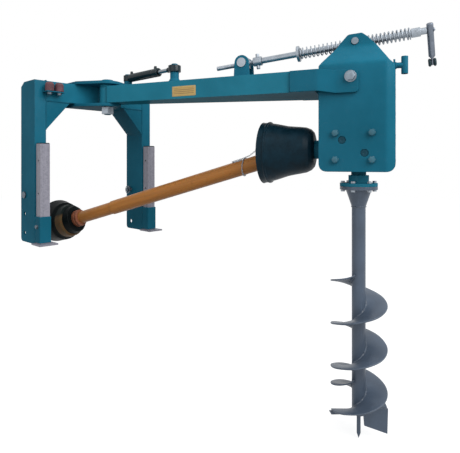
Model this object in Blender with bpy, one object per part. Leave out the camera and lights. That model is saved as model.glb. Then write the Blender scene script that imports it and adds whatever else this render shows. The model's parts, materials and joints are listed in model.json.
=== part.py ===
"""Post-hole auger for a tractor's three-point linkage, driven by the power take-off.

A portal frame hangs on the tractor's lower links. A boom slews on it and carries a tilting head
with a bevel gearbox, which turns the auger. Metres, +Z up, +X from the tractor towards the auger.
The origin is halfway between the two lower hitch pins, on their axis.
"""
import bpy
import bmesh
import math
import numpy as np
from mathutils import Matrix, Vector

for old in list(bpy.data.objects):
    bpy.data.objects.remove(old, do_unlink=True)

# Clearances
GAP = 0.0003                  # between pieces that touch
WELD = 0.001                  # how far a welded piece runs into its neighbour
RUN = 0.0006                  # between a pin and the bore it turns in
SLEW_REST = math.radians(23)  # the boom's swing from straight back, in the photograph

# Portal frame
PORTAL_SPAN = 0.726           # outside to outside of the two posts
POST_WIDTH = 0.060
POST_DEPTH = 0.165
POST_PLATE = 0.008
PIN_TO_FRONT = 0.119          # hitch pin axis to the face on the boom's side
POST_FOOT = 0.247             # hitch pin axis down to the post's foot
POST_RISE = 0.598             # hitch pin axis up to the post's top
POST_BEVEL = 0.038
BEAM_HEIGHT = 0.105
BEAM_WALL = 0.008
GUSSET_REACH = 0.133
GUSSET_DROP = 0.152
HITCH_HOLES = 3
HITCH_PITCH = 0.100
HITCH_PIN_D = 0.0220
HITCH_PIN_HEAD_D = 0.036
HITCH_PIN_HEAD = 0.008
HITCH_PIN_END = 0.034         # past the inner cheek
LINCH_D = 0.009
LINCH_RING_D = 0.046
LINCH_WIRE = 0.0045
HOOP_SIDES = 6

# Top link bracket
LINK_LUG = 0.012
LINK_CLEAR = 0.052
LINK_REACH = 0.075
LINK_BACK = 0.010
LINK_MAST = 0.546             # hitch pin axis up to the top link's hole
LINK_HALF_TALL = 0.0525
LINK_PIN_D = 0.0190

# Parking legs
LEG_SIZE = 0.049
LEG_WALL = 0.0035
LEG_TOP = 0.267
LEG_HOLE_D = 0.011
LEG_HOLE_PITCH = 0.168
LEG_HOLE_LOW = -0.155
SLEEVE_WALL = 0.005
SLEEVE_TOP = -0.104
SLEEVE_FOOT = -0.2365
LEG_SLIP = 0.0006
FOOT_THICK = 0.008
FOOT_LONG = 0.100
FOOT_WIDE = 0.095
LOCK_BOLT_D = 0.010
LOCK_HEAD_D = 0.019
LOCK_HEAD = 0.009

# Slew pivot
PIVOT_REACH = 0.099           # portal's face to the slew axis
PIVOT_PLATE = 0.016
PIVOT_PLATE_R = 0.073
PIVOT_PLATE_HALF = 0.140
PIVOT_PLATE_BACK = 0.110
SLEW_PIN_D = 0.036
SLEW_HEAD_D = 0.076
SLEW_HEAD = 0.012
SLEW_NUT_D = 0.071
SLEW_NUT = 0.038

# Hose couplers parked on the crossbeam
COUPLER_D = 0.028
COUPLER_CAP_D = 0.046
COUPLER_CAP = 0.046
COUPLER_BODY = 0.018
COUPLER_STEP = 0.052
COUPLER_OUT = 0.034
COUPLER_FIRST_Y = -0.300
HOLDER_DROP = 0.063           # crossbeam's top down to the holder's shelf
HOLDER_PLATE = 0.005
HOLDER_WIDE = 0.054

# Slew cylinder
ANCHOR_OUT = 0.063            # in front of the portal's face
ANCHOR_SIDE = 0.159
ANCHOR_BOSS_R = 0.034
CYL_HEIGHT = 0.062            # cylinder axis above the top plate's underside
CYL_PIN_D = 0.020
CYL_EYE_R = 0.026
CYL_EYE_THICK = 0.034
CYL_D = 0.047
CYL_LENGTH = 0.262            # anchor pin to the gland's face
CYL_BORE = 0.030
CYL_BORE_START = 0.050
CYL_ROD_D = 0.022
CYL_ROD_IN = 0.104             # rod inside the barrel at rest
CYL_PISTON_D = 0.0292
CYL_PISTON = 0.020
ROD_EYE_R = 0.033
ROD_EYE_PLAY = 0.0032         # the linkage is opened here
PORT_D = 0.017
PORT_RISE = 0.013

# Boom
BOOM_UNDER = 0.002            # crossbeam's underside up to the boom's
BOOM_OVER = 0.013             # boom's top up to the crossbeam's
BOOM_HALF_ROOT = 0.052
BOOM_HALF_TIP = 0.150
BOOM_TOP_FALL = 0.0075        # of its top edge, from root to tip
BOOM_FOOT_FALL = 0.012        # of its bottom edge
BOOM_TO_HEAD = 0.014          # end of the box section to the head's edge
BOOM_WALL = 0.006
SLEEVE_TUBE_D = 0.083
CYL_POST_REACH = 0.414
CYL_POST_D = 0.046
CYL_POST_BASE_D = 0.062
CYL_POST_CAP_D = 0.034

# Fork
CHEEK_THICK = 0.012
CHEEK_OVERLAP = 0.110         # along the boom's side
CHEEK_BENT = 0.075            # length of the part that is bent inwards, past the head's edge
CHEEK_END = 0.032             # tilt bolt to the cheek's end
CHEEK_RISE = 0.030            # tilt bolt up to the end's top corner
CHEEK_DROP = 0.069            # tilt bolt down to the end's bottom corner
CHEEK_CORNER = 0.018

# Spindle bracket on the boom
EAR_REACH = 0.797
EAR_HEIGHT = 0.118            # trunnion above the boom's middle
EAR_R = 0.036
EAR_OUT = 0.042
EAR_THICK = 0.010
EAR_BASE = 0.008
NUT_TRUNNION_D = 0.046
NUT_BLOCK = 0.050

# Head
TILT_REACH = 1.322            # slew axis to the tilt bolt
TILT_BOLT_D = 0.030
TILT_HEAD_D = 0.052
TILT_HEAD = 0.019
HEAD_HALF = 0.133             # middle to the outside of a side plate
HEAD_PLATE = 0.008
HEAD_LEFT = -0.138
HEAD_RIGHT = 0.179
HEAD_BOTTOM = -0.408
HEAD_CORNER = 0.038
HEAD_EDGE_FOLD = 0.032        # width of the folded strip on the outer edge
JOGGLE_START = 0.061
JOGGLE_END = 0.146
LUG_HALF = 0.048              # middle to the outside of a lug, above the joggle
TRUNNION_X = 0.010
TRUNNION_Z = 0.172
TRUNNION_PIN_D = 0.032
TRUNNION_D = 0.056
END_PLATE_TOP = 0.070
SIGHT_HOLE_D = 0.034
SIGHT_HOLES = ((-0.038, -0.271), (0.056, -0.327))

# Gearbox
GEARBOX_HALF_LONG = 0.115
GEARBOX_MID_X = 0.0105
GEARBOX_TOP = -0.200
GEARBOX_BOTTOM = -0.395
GEARBOX_WALL = 0.012
GEARBOX_BEVEL = 0.018
BOX_BOLT_X = 0.0765           # half the bolts' spacing along the boom
BOX_BOLT_Z = 0.0575
BOX_BOLT_MID_Z = -0.2975
BOX_BOLT_D = 0.016
BOX_BOLT_HEAD_D = 0.027
BOX_BOLT_HEAD = 0.011
OUTPUT_X = 0.022              # auger's axis from the tilt bolt
INPUT_Z = -0.308
INPUT_NECK_R = 0.048
INPUT_NECK_END = -0.150
NECK_R = 0.033
NECK_END = -0.424

# Bevel gears
PINION_TEETH = 10
CROWN_TEETH = 30
MODULE = 0.0048
FACE_WIDTH = 0.018
TOOTH_TALL = 0.0070
TOOTH_SHARE = 0.40            # of the tooth pitch that a tooth fills
SHAFT_IN_D = 0.035
SHAFT_OUT_D = 0.045
BEARING_WIDE = 0.018
BEARING_OUT_D = 0.080
STUB_D = 0.035

# Auger
HUB_R = 0.045
HUB_TOP = -0.4245
FLANGE_R = 0.083
FLANGE_THICK = 0.015
FLANGE_FACE = -0.475
FLANGE_BOLTS = 6
FLANGE_BOLT_CIRCLE = 0.0705
FLANGE_BOLT_HEAD_D = 0.020
FLANGE_BOLT_HEAD = 0.009
CONE_R = 0.057
CONE_LENGTH = 0.078
AUGER_TUBE_R = 0.0305
AUGER_TUBE_WALL = 0.005
AUGER_TUBE_END = -1.502
END_PLUG = 0.012
DRAIN_D = 0.008
AUGER_R = 0.125
FLIGHT_PITCH = 0.195
FLIGHT_THICK = 0.007
FLIGHT_RISE = 0.645           # tube's lower end up to the top of the main flight
FLIGHT_TOP_TURN = 280.0       # degrees round the axis at its top end
FLIGHT_TURNS = 3.222
LOWER_RISE = 0.164            # tube's lower end up to the top of the second flight
LOWER_TOP_TURN = 260.0
LOWER_TURNS = 0.687
FLIGHT_RUN_IN = 75.0          # degrees over which a flight grows to its full radius
FLIGHT_STEP = 18.0
BLADE_THICK = 0.010
BLADE_OUT = 0.129
BLADE_DROP = 0.112
EDGE_DROP = 0.016
PILOT_WIDE = 0.017
PILOT_THICK = 0.010
PILOT_DROP = 0.112            # tube's lower end down to the pilot's tip

# Spindle
SPINDLE_D = 0.022
SLEEVE_D = 0.029
SPINDLE_PAST_NUT = 0.143      # thread beyond the nut's axis
EAR_NUT_PLAY = 0.0022         # the second linkage is opened here
NUT_TO_LOCK = 0.0257          # nut block to the lock nut
LOCK_LONG = 0.042
LOCK_D = 0.044
LOCK_BAR_D = 0.018
LOCK_BAR_LONG = 0.074
WASHER_AT = -0.270
WASHER_THICK = 0.012
WASHER_D = 0.074
SPRING_D = 0.054
SPRING_WIRE = 0.006
SPRING_CURLS = 10
SPRING_POINTS = 8
REAR_SPRING_END = 0.234
COLLAR_LONG = 0.038
COLLAR_D = 0.040
CRANK_AT = 0.311
CRANK_ARM_D = 0.028
CRANK_ARM = 0.144
CRANK_TOP = 0.030
CRANK_REST = math.radians(28)  # how far the crank stands round from straight down
CRANK_END = 0.009             # thickness of the arm's flattened end
CRANK_END_WIDE = 0.026
KNOB_D = 0.036
KNOB_LONG = 0.012             # of each half, on either side of the arm's end
KNOB_PIN_D = 0.012

# Tee handle on the head
TEE_Z = 0.048
TEE_SIDE = -0.060
TEE_ROD_D = 0.025
TEE_ROD_LONG = 0.026
TEE_BAR_D = 0.028
TEE_BAR_LONG = 0.075
TEE_BAR_BORE = 0.021

# Bell guard on the gearbox
BELL_FLANGE_R = 0.060
BELL_WALL = 0.005
BELL_PROFILE = (              # length from the gearbox, outer radius
    (0.000, 0.060), (0.007, 0.080), (0.024, 0.096), (0.050, 0.108), (0.125, 0.115),
    (0.205, 0.133), (0.232, 0.138), (0.238, 0.144), (0.272, 0.145))

# Drive shaft
JOINT_FROM_BOX = 0.095        # gearbox neck's face to the first cross
SHAFT_END = Vector((-0.070, -0.094, -0.176))
CROSS_HALF = 0.037
CROSS_D = 0.024
YOKE_EAR = 0.012
YOKE_EAR_END = 0.016          # from the cross's middle to the tip of an ear
YOKE_EAR_HALF = 0.019
YOKE_HUB_R = 0.029
YOKE_REACH = 0.050
GUARD_SEAT = 0.012            # length of a guard's bearing ring on a fork's hub
YOKE_HUB = 0.034
OUTER_TUBE_D = 0.054
OUTER_TUBE_BORE = 0.0436
INNER_TUBE_D = 0.043
OUTER_TUBE_END = 1.020
INNER_TUBE_START = 0.520
GUARD_D = 0.076
GUARD_WALL = 0.0035
GUARD_START = 0.062
GUARD_END = 1.100
INNER_GUARD_D = 0.068
INNER_GUARD_START = 0.560
COLLAR_GUARD_R = 0.047
COLLAR_GUARD_LONG = 0.036
CONE_BEFORE = 0.078           # start of the tractor's guard to its joint
CONE_BEYOND = 0.100           # the joint to the guard's mouth
CONE_WALL = 0.005
TRACTOR_CONE = (              # share of the bent length, outer radius
    (0.00, 0.074), (0.20, 0.079), (0.24, 0.088), (0.48, 0.093), (0.54, 0.106), (1.00, 0.122))

# Worked out from the sizes above
FRONT = PIN_TO_FRONT
REAR = PIN_TO_FRONT - POST_DEPTH
OUTER_Y = PORTAL_SPAN / 2
INNER_Y = OUTER_Y - POST_WIDTH
BEAM_TOP = POST_RISE
BEAM_BOTTOM = POST_RISE - BEAM_HEIGHT
HOLDER_Z = BEAM_TOP - HOLDER_DROP
PIVOT_X = FRONT + PIVOT_REACH
PLATE_TOP_UNDER = BEAM_TOP + GAP
PLATE_TOP_FACE = PLATE_TOP_UNDER + PIVOT_PLATE
PLATE_LOW_FACE = BEAM_BOTTOM - GAP
PLATE_LOW_UNDER = PLATE_LOW_FACE - PIVOT_PLATE
BOOM_TOP = BEAM_TOP - BOOM_OVER
BOOM_FOOT = BEAM_BOTTOM + BOOM_UNDER
BOOM_MID = (BOOM_TOP + BOOM_FOOT) / 2
BOOM_HEIGHT = BOOM_TOP - BOOM_FOOT
BOOM_TIP = TILT_REACH + HEAD_LEFT - BOOM_TO_HEAD
FLIGHT_TOP = AUGER_TUBE_END + FLIGHT_RISE
LOWER_TOP = AUGER_TUBE_END + LOWER_RISE
PILOT_END = AUGER_TUBE_END - PILOT_DROP
CYL_AXIS = PLATE_TOP_UNDER + CYL_HEIGHT
CHEEK_IN = HEAD_HALF + GAP
CHEEK_OUT = CHEEK_IN + CHEEK_THICK
PLATE_IN = HEAD_HALF - HEAD_PLATE


def material(name, colour, roughness, metallic):
    """A plain painted, rubber or metal finish."""
    found = bpy.data.materials.get(name)
    if found:
        return found
    made = bpy.data.materials.new(name)
    made.use_nodes = True
    shader = made.node_tree.nodes["Principled BSDF"]
    shader.inputs["Base Color"].default_value = (*colour, 1.0)
    shader.inputs["Roughness"].default_value = roughness
    shader.inputs["Metallic"].default_value = metallic
    return made


PAINT = material("petrol_blue_paint", (0.012, 0.155, 0.215), 0.38, 0.0)
GALVANISED = material("galvanised_steel", (0.42, 0.43, 0.46), 0.45, 0.9)
PLATED = material("zinc_plated_steel", (0.45, 0.47, 0.50), 0.32, 0.9)
BLACK_PLASTIC = material("black_plastic", (0.012, 0.013, 0.014), 0.55, 0.0)
YELLOW_PLASTIC = material("yellow_plastic", (0.62, 0.27, 0.03), 0.45, 0.0)
AUGER_PAINT = material("auger_grey_paint", (0.055, 0.075, 0.105), 0.45, 0.2)
CYLINDER_PAINT = material("cylinder_black_paint", (0.02, 0.03, 0.035), 0.40, 0.1)
RED_CAP = material("red_cap_plastic", (0.22, 0.045, 0.05), 0.50, 0.0)
GEAR_STEEL = material("gear_steel", (0.35, 0.35, 0.36), 0.30, 1.0)
CHROME = material("chromed_rod", (0.62, 0.63, 0.65), 0.12, 1.0)
CASTING = material("cast_housing_paint", (0.012, 0.150, 0.205), 0.50, 0.0)


def frame(name, place, turn=None, parent=None):
    """An empty that stands on a joint's axis and carries the pieces of one moving body."""
    empty = bpy.data.objects.new(name, None)
    bpy.context.collection.objects.link(empty)
    empty.parent = parent
    empty.matrix_local = Matrix.Translation(Vector(place)) @ (turn or Matrix.Identity(4))
    return empty


def solid(name, shape, finish, parent=None, sharp=32.0):
    """Turn a bmesh into a named object that rides on its body's empty."""
    bmesh.ops.recalc_face_normals(shape, faces=shape.faces)
    mesh = bpy.data.meshes.new(name)
    shape.to_mesh(mesh)
    shape.free()
    mesh.materials.append(finish)
    mesh.shade_smooth()
    mesh.set_sharp_from_angle(angle=math.radians(sharp))
    piece = bpy.data.objects.new(name, mesh)
    bpy.context.collection.objects.link(piece)
    piece.parent = parent
    return piece


def combine(piece, shape, operation):
    """Cut a shape out of a piece, or join one to it, with an exact Boolean."""
    tool = solid(piece.name + "_tool_" + str(len(piece.modifiers)), shape,
                 piece.data.materials[0], piece.parent)
    tool.hide_render = True
    tool.display_type = 'WIRE'
    change = piece.modifiers.new(operation.lower(), 'BOOLEAN')
    change.operation = operation
    change.solver = 'EXACT'
    change.object = tool
    return piece


def cut(piece, shape):
    return combine(piece, shape, 'DIFFERENCE')


def join(piece, shape):
    return combine(piece, shape, 'UNION')


def turned(profile, axis='Z', centre=(0.0, 0.0, 0.0), sides=16):
    """Turn a profile of (radius, height) points about an axis. A profile that starts and ends
    on the axis makes a full body, and one that doesn't is closed into a ring."""
    shape = bmesh.new()
    angles = [2 * math.pi * k / sides for k in range(sides)]
    rings = []
    for radius, height in profile:
        steps = [0.0] if radius == 0.0 else angles
        ring = []
        for angle in steps:
            across, along = radius * math.cos(angle), radius * math.sin(angle)
            spot = {'Z': (across, along, height), 'X': (height, across, along),
                    'Y': (along, height, across)}[axis]
            ring.append(shape.verts.new(Vector(spot) + Vector(centre)))
        rings.append(ring)
    pairs = list(zip(rings, rings[1:]))
    if len(rings[0]) > 1:
        pairs.append((rings[-1], rings[0]))
    for low, high in pairs:
        for k in range(sides):
            following = (k + 1) % sides
            corners = [low[k % len(low)], low[following % len(low)],
                       high[following % len(high)], high[k % len(high)]]
            face = list(dict.fromkeys(corners))
            if len(face) > 2:
                shape.faces.new(face)
    bmesh.ops.recalc_face_normals(shape, faces=shape.faces)
    return shape


def rod(radius, start, end, axis='Z', centre=(0.0, 0.0, 0.0), sides=16):
    return turned([(0.0, start), (radius, start), (radius, end), (0.0, end)], axis, centre, sides)


def ring(outer, inner, start, end, axis='Z', centre=(0.0, 0.0, 0.0), sides=20):
    return turned([(inner, start), (outer, start), (outer, end), (inner, end)],
                  axis, centre, sides)


def merge(*shapes):
    """Put several shapes that don't touch into one bmesh, for use as one cutter."""
    whole = bmesh.new()
    for part in shapes:
        carrier = bpy.data.meshes.new("carrier")
        part.to_mesh(carrier)
        part.free()
        whole.from_mesh(carrier)
        bpy.data.meshes.remove(carrier)
    return whole


def block(low, high):
    """A box between two corners."""
    shape = bmesh.new()
    size = Vector(high) - Vector(low)
    middle = (Vector(high) + Vector(low)) / 2
    place = Matrix.Translation(middle) @ Matrix.Diagonal((*size, 1.0))
    bmesh.ops.create_cube(shape, size=1.0, matrix=place)
    return shape


def circle(middle, radius, sides=16):
    return [(middle[0] + radius * math.cos(2 * math.pi * k / sides),
             middle[1] + radius * math.sin(2 * math.pi * k / sides)) for k in range(sides)]


def rounded(corners, steps=3):
    """An outline whose corners, given as (x, y, radius), are rounded by arcs."""
    outline = []
    count = len(corners)
    for k, (x, y, radius) in enumerate(corners):
        if radius == 0.0:
            outline.append((x, y))
            continue
        here = Vector((x, y))
        before = (Vector(corners[k - 1][:2]) - here).normalized()
        after = (Vector(corners[(k + 1) % count][:2]) - here).normalized()
        half = before.angle(after) / 2
        centre = here + (before + after).normalized() * (radius / math.sin(half))
        start = here + before * (radius / math.tan(half)) - centre
        end = here + after * (radius / math.tan(half)) - centre
        for step in range(steps + 1):
            arm = start.lerp(end, step / steps).normalized() * radius
            outline.append(tuple(centre + arm))
    return outline


def hull(points):
    """The convex outline round a set of points."""
    ordered = sorted(set((round(x, 7), round(y, 7)) for x, y in points))

    def chain(sequence):
        kept = []
        for point in sequence:
            while len(kept) > 1:
                (ax, ay), (bx, by) = kept[-2], kept[-1]
                turn = (bx - ax) * (point[1] - ay) - (by - ay) * (point[0] - ax)
                if turn > 1e-9:
                    break
                kept.pop()
            kept.append(point)
        return kept[:-1]

    return chain(ordered) + chain(ordered[::-1])


def plate(outline, start, end, plane='XY', holes=()):
    """A flat plate: an outline with holes, drawn in a plane and given a thickness."""
    shape = bmesh.new()

    def spot(point, depth):
        x, y = point
        return {'XY': (x, y, depth), 'XZ': (x, depth, y), 'YZ': (depth, x, y)}[plane]

    edges = []
    for loop in (outline, *holes):
        corners = [shape.verts.new(spot(point, start)) for point in loop]
        edges += [shape.edges.new((corners[k - 1], corners[k])) for k in range(len(corners))]
    bmesh.ops.triangle_fill(shape, use_beauty=True, use_dissolve=False, edges=edges)
    lifted = bmesh.ops.extrude_face_region(shape, geom=list(shape.faces))
    tops = [item for item in lifted["geom"] if isinstance(item, bmesh.types.BMVert)]
    bmesh.ops.translate(shape, verts=tops, vec=Vector(spot((0, 0), end)) - Vector(spot((0, 0), start)))
    bmesh.ops.recalc_face_normals(shape, faces=shape.faces)
    return shape


def folded(shape, lines, shift):
    """Fold a plate that stands across Y: split it along the fold lines, then move each point
    sideways by shift(x, z)."""
    for axis, value in lines:
        normal = Vector((1, 0, 0)) if axis == 'X' else Vector((0, 0, 1))
        bmesh.ops.bisect_plane(shape, geom=shape.verts[:] + shape.edges[:] + shape.faces[:],
                               dist=1e-6, plane_co=normal * value, plane_no=normal)
    bmesh.ops.triangulate(shape, faces=shape.faces)
    for corner in shape.verts:
        corner.co.y += shift(corner.co.x, corner.co.z)
    return shape


def hexagon(across, start, end, axis, centre=(0.0, 0.0, 0.0)):
    """A hexagonal head or nut, by its size across the flats."""
    return rod(across / math.sqrt(3), start, end, axis, centre, sides=6)


def moved(shape, matrix):
    bmesh.ops.transform(shape, matrix=matrix, verts=shape.verts)
    return shape


# Moving frames
boom = frame("slew_axis", (PIVOT_X, 0, 0), Matrix.Rotation(SLEW_REST, 4, 'Z'))
head = frame("tilt_axis", (TILT_REACH, 0, BOOM_MID), parent=boom)
auger = frame("auger_axis", (OUTPUT_X, 0, 0), parent=head)
pinion = frame("pinion_axis", (OUTPUT_X, 0, INPUT_Z), parent=head)

# The two posts, open channels whose cheeks take the lower links' balls
beam_inner = INNER_Y - GAP
post_outline = rounded([(REAR, -POST_FOOT, 0.018), (FRONT, -POST_FOOT, 0.004),
                        (FRONT, POST_RISE, 0.004), (REAR + POST_BEVEL, POST_RISE, 0.004),
                        (REAR, POST_RISE - POST_BEVEL * 0.6, 0.004)], steps=2)
past = 0.02
post_hollow = [(REAR - past, -POST_FOOT - past), (FRONT - POST_PLATE, -POST_FOOT - past),
               (FRONT - POST_PLATE, POST_RISE - POST_PLATE),
               (REAR + POST_BEVEL + POST_PLATE, POST_RISE - POST_PLATE),
               (REAR + POST_PLATE, POST_RISE - POST_BEVEL), (REAR + POST_PLATE, BEAM_BOTTOM),
               (REAR - past, BEAM_BOTTOM)]
for label, side in (("left", -1), ("right", 1)):
    ends = sorted((side * INNER_Y, side * OUTER_Y))
    post = solid(label + "_post", plate(post_outline, *ends, plane='XZ'), PAINT)
    cut(post, plate(post_hollow, ends[0] + POST_PLATE, ends[1] - POST_PLATE, plane='XZ'))
    holes = [rod(HITCH_PIN_D / 2 + RUN, ends[0] - past, ends[1] + past, 'Y',
                 (0, 0, -HITCH_PITCH * k)) for k in range(HITCH_HOLES)]
    cut(post, merge(*holes))

    # Gusset under the crossbeam, a folded plate open to the tractor and welded to the post
    near = side * (INNER_Y + WELD)
    tip = side * (beam_inner - GUSSET_REACH)
    top = BEAM_BOTTOM - GAP
    join(post, plate([(near, top), (tip, top), (near, top - GUSSET_DROP)],
                     REAR + POST_PLATE, FRONT - WELD, plane='YZ'))
    inset = POST_PLATE
    slope = math.hypot(GUSSET_REACH, GUSSET_DROP)
    trim_y = inset * (1 + slope / GUSSET_DROP + GUSSET_REACH / GUSSET_DROP)
    trim_z = inset * (1 + slope / GUSSET_REACH + GUSSET_DROP / GUSSET_REACH)
    inner = [(near - side * inset, top - inset), (tip + side * (trim_y - inset), top - inset),
             (near - side * inset, top - GUSSET_DROP + trim_z - inset)]
    cut(post, plate(inner, REAR - past, FRONT - POST_PLATE, plane='YZ'))

    # Hitch pin in the top hole, with its linch pin inside the portal
    inner_end = side * (INNER_Y - HITCH_PIN_END)
    head_face = side * (OUTER_Y + GAP)
    head_end = side * (OUTER_Y + GAP + HITCH_PIN_HEAD)
    profile = [(0.0, inner_end), (HITCH_PIN_D / 2, inner_end), (HITCH_PIN_D / 2, head_face),
               (HITCH_PIN_HEAD_D / 2, head_face), (HITCH_PIN_HEAD_D / 2, head_end),
               (0.0, head_end)]
    pin = solid(label + "_hitch_pin", turned(profile, 'Y', sides=16), PLATED)
    linch_y = side * (INNER_Y - HITCH_PIN_END / 2)
    shank = HITCH_PIN_D / 2 + 0.014
    linch_top = HITCH_PIN_D / 2 - WELD
    join(pin, turned(
        [(0.0, -shank), (LINCH_D / 2, -shank), (LINCH_D / 2, linch_top),
         (LINCH_D * 0.9, linch_top), (LINCH_D * 0.9, linch_top + 0.012),
         (0.0, linch_top + 0.012)], 'Z', (0, linch_y, 0), 12))
    hoop = []
    for k in range(HOOP_SIDES):
        turn = 2 * math.pi * k / HOOP_SIDES
        hoop.append((LINCH_RING_D / 2 + LINCH_WIRE / 2 * math.cos(turn),
                     LINCH_WIRE / 2 * math.sin(turn)))
    join(pin, turned(hoop, 'Y', (0, linch_y, linch_top + 0.007 + LINCH_RING_D / 2), 12))

# The crossbeam, a box section between the posts
beam_outline = [(REAR, BEAM_BOTTOM), (FRONT, BEAM_BOTTOM), (FRONT, BEAM_TOP), (REAR, BEAM_TOP)]
beam_bore = [(REAR + BEAM_WALL, BEAM_BOTTOM + BEAM_WALL),
             (FRONT - BEAM_WALL, BEAM_BOTTOM + BEAM_WALL),
             (FRONT - BEAM_WALL, BEAM_TOP - BEAM_WALL), (REAR + BEAM_WALL, BEAM_TOP - BEAM_WALL)]
solid("crossbeam", plate(beam_outline, -beam_inner, beam_inner, 'XZ', [beam_bore]), PAINT)

# Clevis for the tractor's top link, and its pin
link_half = LINK_CLEAR / 2 + LINK_LUG
link_rear = REAR - GAP - LINK_REACH
link_face = REAR - GAP
link_outline = [(link_face, -link_half), (link_face, link_half), (link_rear, link_half),
                (link_rear, LINK_CLEAR / 2), (link_face - LINK_BACK, LINK_CLEAR / 2),
                (link_face - LINK_BACK, -LINK_CLEAR / 2), (link_rear, -LINK_CLEAR / 2),
                (link_rear, -link_half)]
link_x = link_rear + 0.028
bracket = solid("top_link_bracket", plate(link_outline, LINK_MAST - LINK_HALF_TALL,
                                          LINK_MAST + LINK_HALF_TALL), PAINT)
cut(bracket, rod(LINK_PIN_D / 2 + RUN, -link_half - past, link_half + past, 'Y',
                 (link_x, 0, LINK_MAST)))
solid("top_link_pin", turned(
    [(0.0, -link_half - 0.022), (LINK_PIN_D / 2, -link_half - 0.022),
     (LINK_PIN_D / 2, link_half + GAP), (LINK_PIN_D * 0.8, link_half + GAP),
     (LINK_PIN_D * 0.8, link_half + 0.008), (0.0, link_half + 0.008)],
    'Y', (link_x, 0, LINK_MAST)), PLATED)

# Slew pivot: two plates on the crossbeam, the pin and its nut
anchor = (FRONT + ANCHOR_OUT, ANCHOR_SIDE)
back_x = FRONT - PIVOT_PLATE_BACK
upper_outline = hull([(back_x, -PIVOT_PLATE_HALF), (FRONT + 0.010, -PIVOT_PLATE_HALF),
                      (back_x, ANCHOR_SIDE + 0.030), (FRONT, ANCHOR_SIDE + 0.030)]
                     + circle((PIVOT_X, 0), PIVOT_PLATE_R, 20) + circle(anchor, ANCHOR_BOSS_R, 16))
lower_outline = hull([(back_x, -PIVOT_PLATE_HALF), (FRONT + 0.010, -PIVOT_PLATE_HALF),
                      (back_x, PIVOT_PLATE_HALF), (FRONT + 0.010, PIVOT_PLATE_HALF)]
                     + circle((PIVOT_X, 0), PIVOT_PLATE_R, 20))
pin_hole = circle((PIVOT_X, 0), SLEW_PIN_D / 2 + GAP, 20)
solid("pivot_top_plate", plate(upper_outline, PLATE_TOP_UNDER, PLATE_TOP_FACE, 'XY',
                               [pin_hole, circle(anchor, CYL_PIN_D / 2 + GAP, 20)]), PAINT)
solid("pivot_bottom_plate", plate(lower_outline, PLATE_LOW_UNDER, PLATE_LOW_FACE, 'XY',
                                  [pin_hole]), PAINT)
pin_top = PLATE_TOP_FACE + GAP
nut_top = PLATE_LOW_UNDER - GAP
nut_foot = nut_top - SLEW_NUT
solid("slew_pin", turned(
    [(0.0, nut_foot - 0.004), (SLEW_PIN_D / 2 - 0.002, nut_foot - 0.004),
     (SLEW_PIN_D / 2, nut_foot - 0.002), (SLEW_PIN_D / 2, pin_top), (SLEW_HEAD_D / 2, pin_top),
     (SLEW_HEAD_D / 2, pin_top + SLEW_HEAD * 0.5),
     (SLEW_HEAD_D / 2 - 0.010, pin_top + SLEW_HEAD), (0.0, pin_top + SLEW_HEAD)],
    'Z', (PIVOT_X, 0, 0), 20), PAINT)
nut_hole = circle((PIVOT_X, 0), SLEW_PIN_D / 2 + GAP, 20)
solid("slew_nut", plate(circle((PIVOT_X, 0), SLEW_NUT_D / 2, 6), nut_foot, nut_top, 'XY',
                        [nut_hole]), PLATED)

# Hose couplers with their dust caps, parked in a holder near the left post
holder_y = (COUPLER_FIRST_Y - COUPLER_CAP_D / 2, COUPLER_FIRST_Y + COUPLER_STEP + COUPLER_CAP_D / 2)
coupler_x = FRONT + COUPLER_OUT
coupler_ys = [COUPLER_FIRST_Y + COUPLER_STEP * k for k in range(2)]
holder = solid("coupler_holder", plate(
    [(FRONT + GAP, HOLDER_Z), (FRONT + HOLDER_WIDE, HOLDER_Z),
     (FRONT + HOLDER_WIDE, HOLDER_Z + HOLDER_PLATE),
     (FRONT + GAP + HOLDER_PLATE, HOLDER_Z + HOLDER_PLATE),
     (FRONT + GAP + HOLDER_PLATE, HOLDER_Z + 0.028), (FRONT + GAP, HOLDER_Z + 0.028)],
    holder_y[0], holder_y[1], 'XZ'), PAINT)
cut(holder, merge(*[rod(COUPLER_D / 2 + GAP, HOLDER_Z - past, HOLDER_Z + past, 'Z',
                        (coupler_x, y, 0)) for y in coupler_ys]))
cap_foot = HOLDER_Z + HOLDER_PLATE + GAP
for label, y in zip(("near", "far"), coupler_ys):
    solid(label + "_hose_coupler", turned(
        [(0.0, cap_foot - COUPLER_BODY), (COUPLER_D / 2 - 0.006, cap_foot - COUPLER_BODY),
         (COUPLER_D / 2, cap_foot - COUPLER_BODY + 0.012), (COUPLER_D / 2, cap_foot),
         (COUPLER_CAP_D / 2, cap_foot), (COUPLER_CAP_D / 2, cap_foot + COUPLER_CAP * 0.75),
         (COUPLER_CAP_D / 2 - 0.008, cap_foot + COUPLER_CAP), (0.0, cap_foot + COUPLER_CAP)],
        'Z', (coupler_x, y, 0), 16), RED_CAP)

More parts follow.
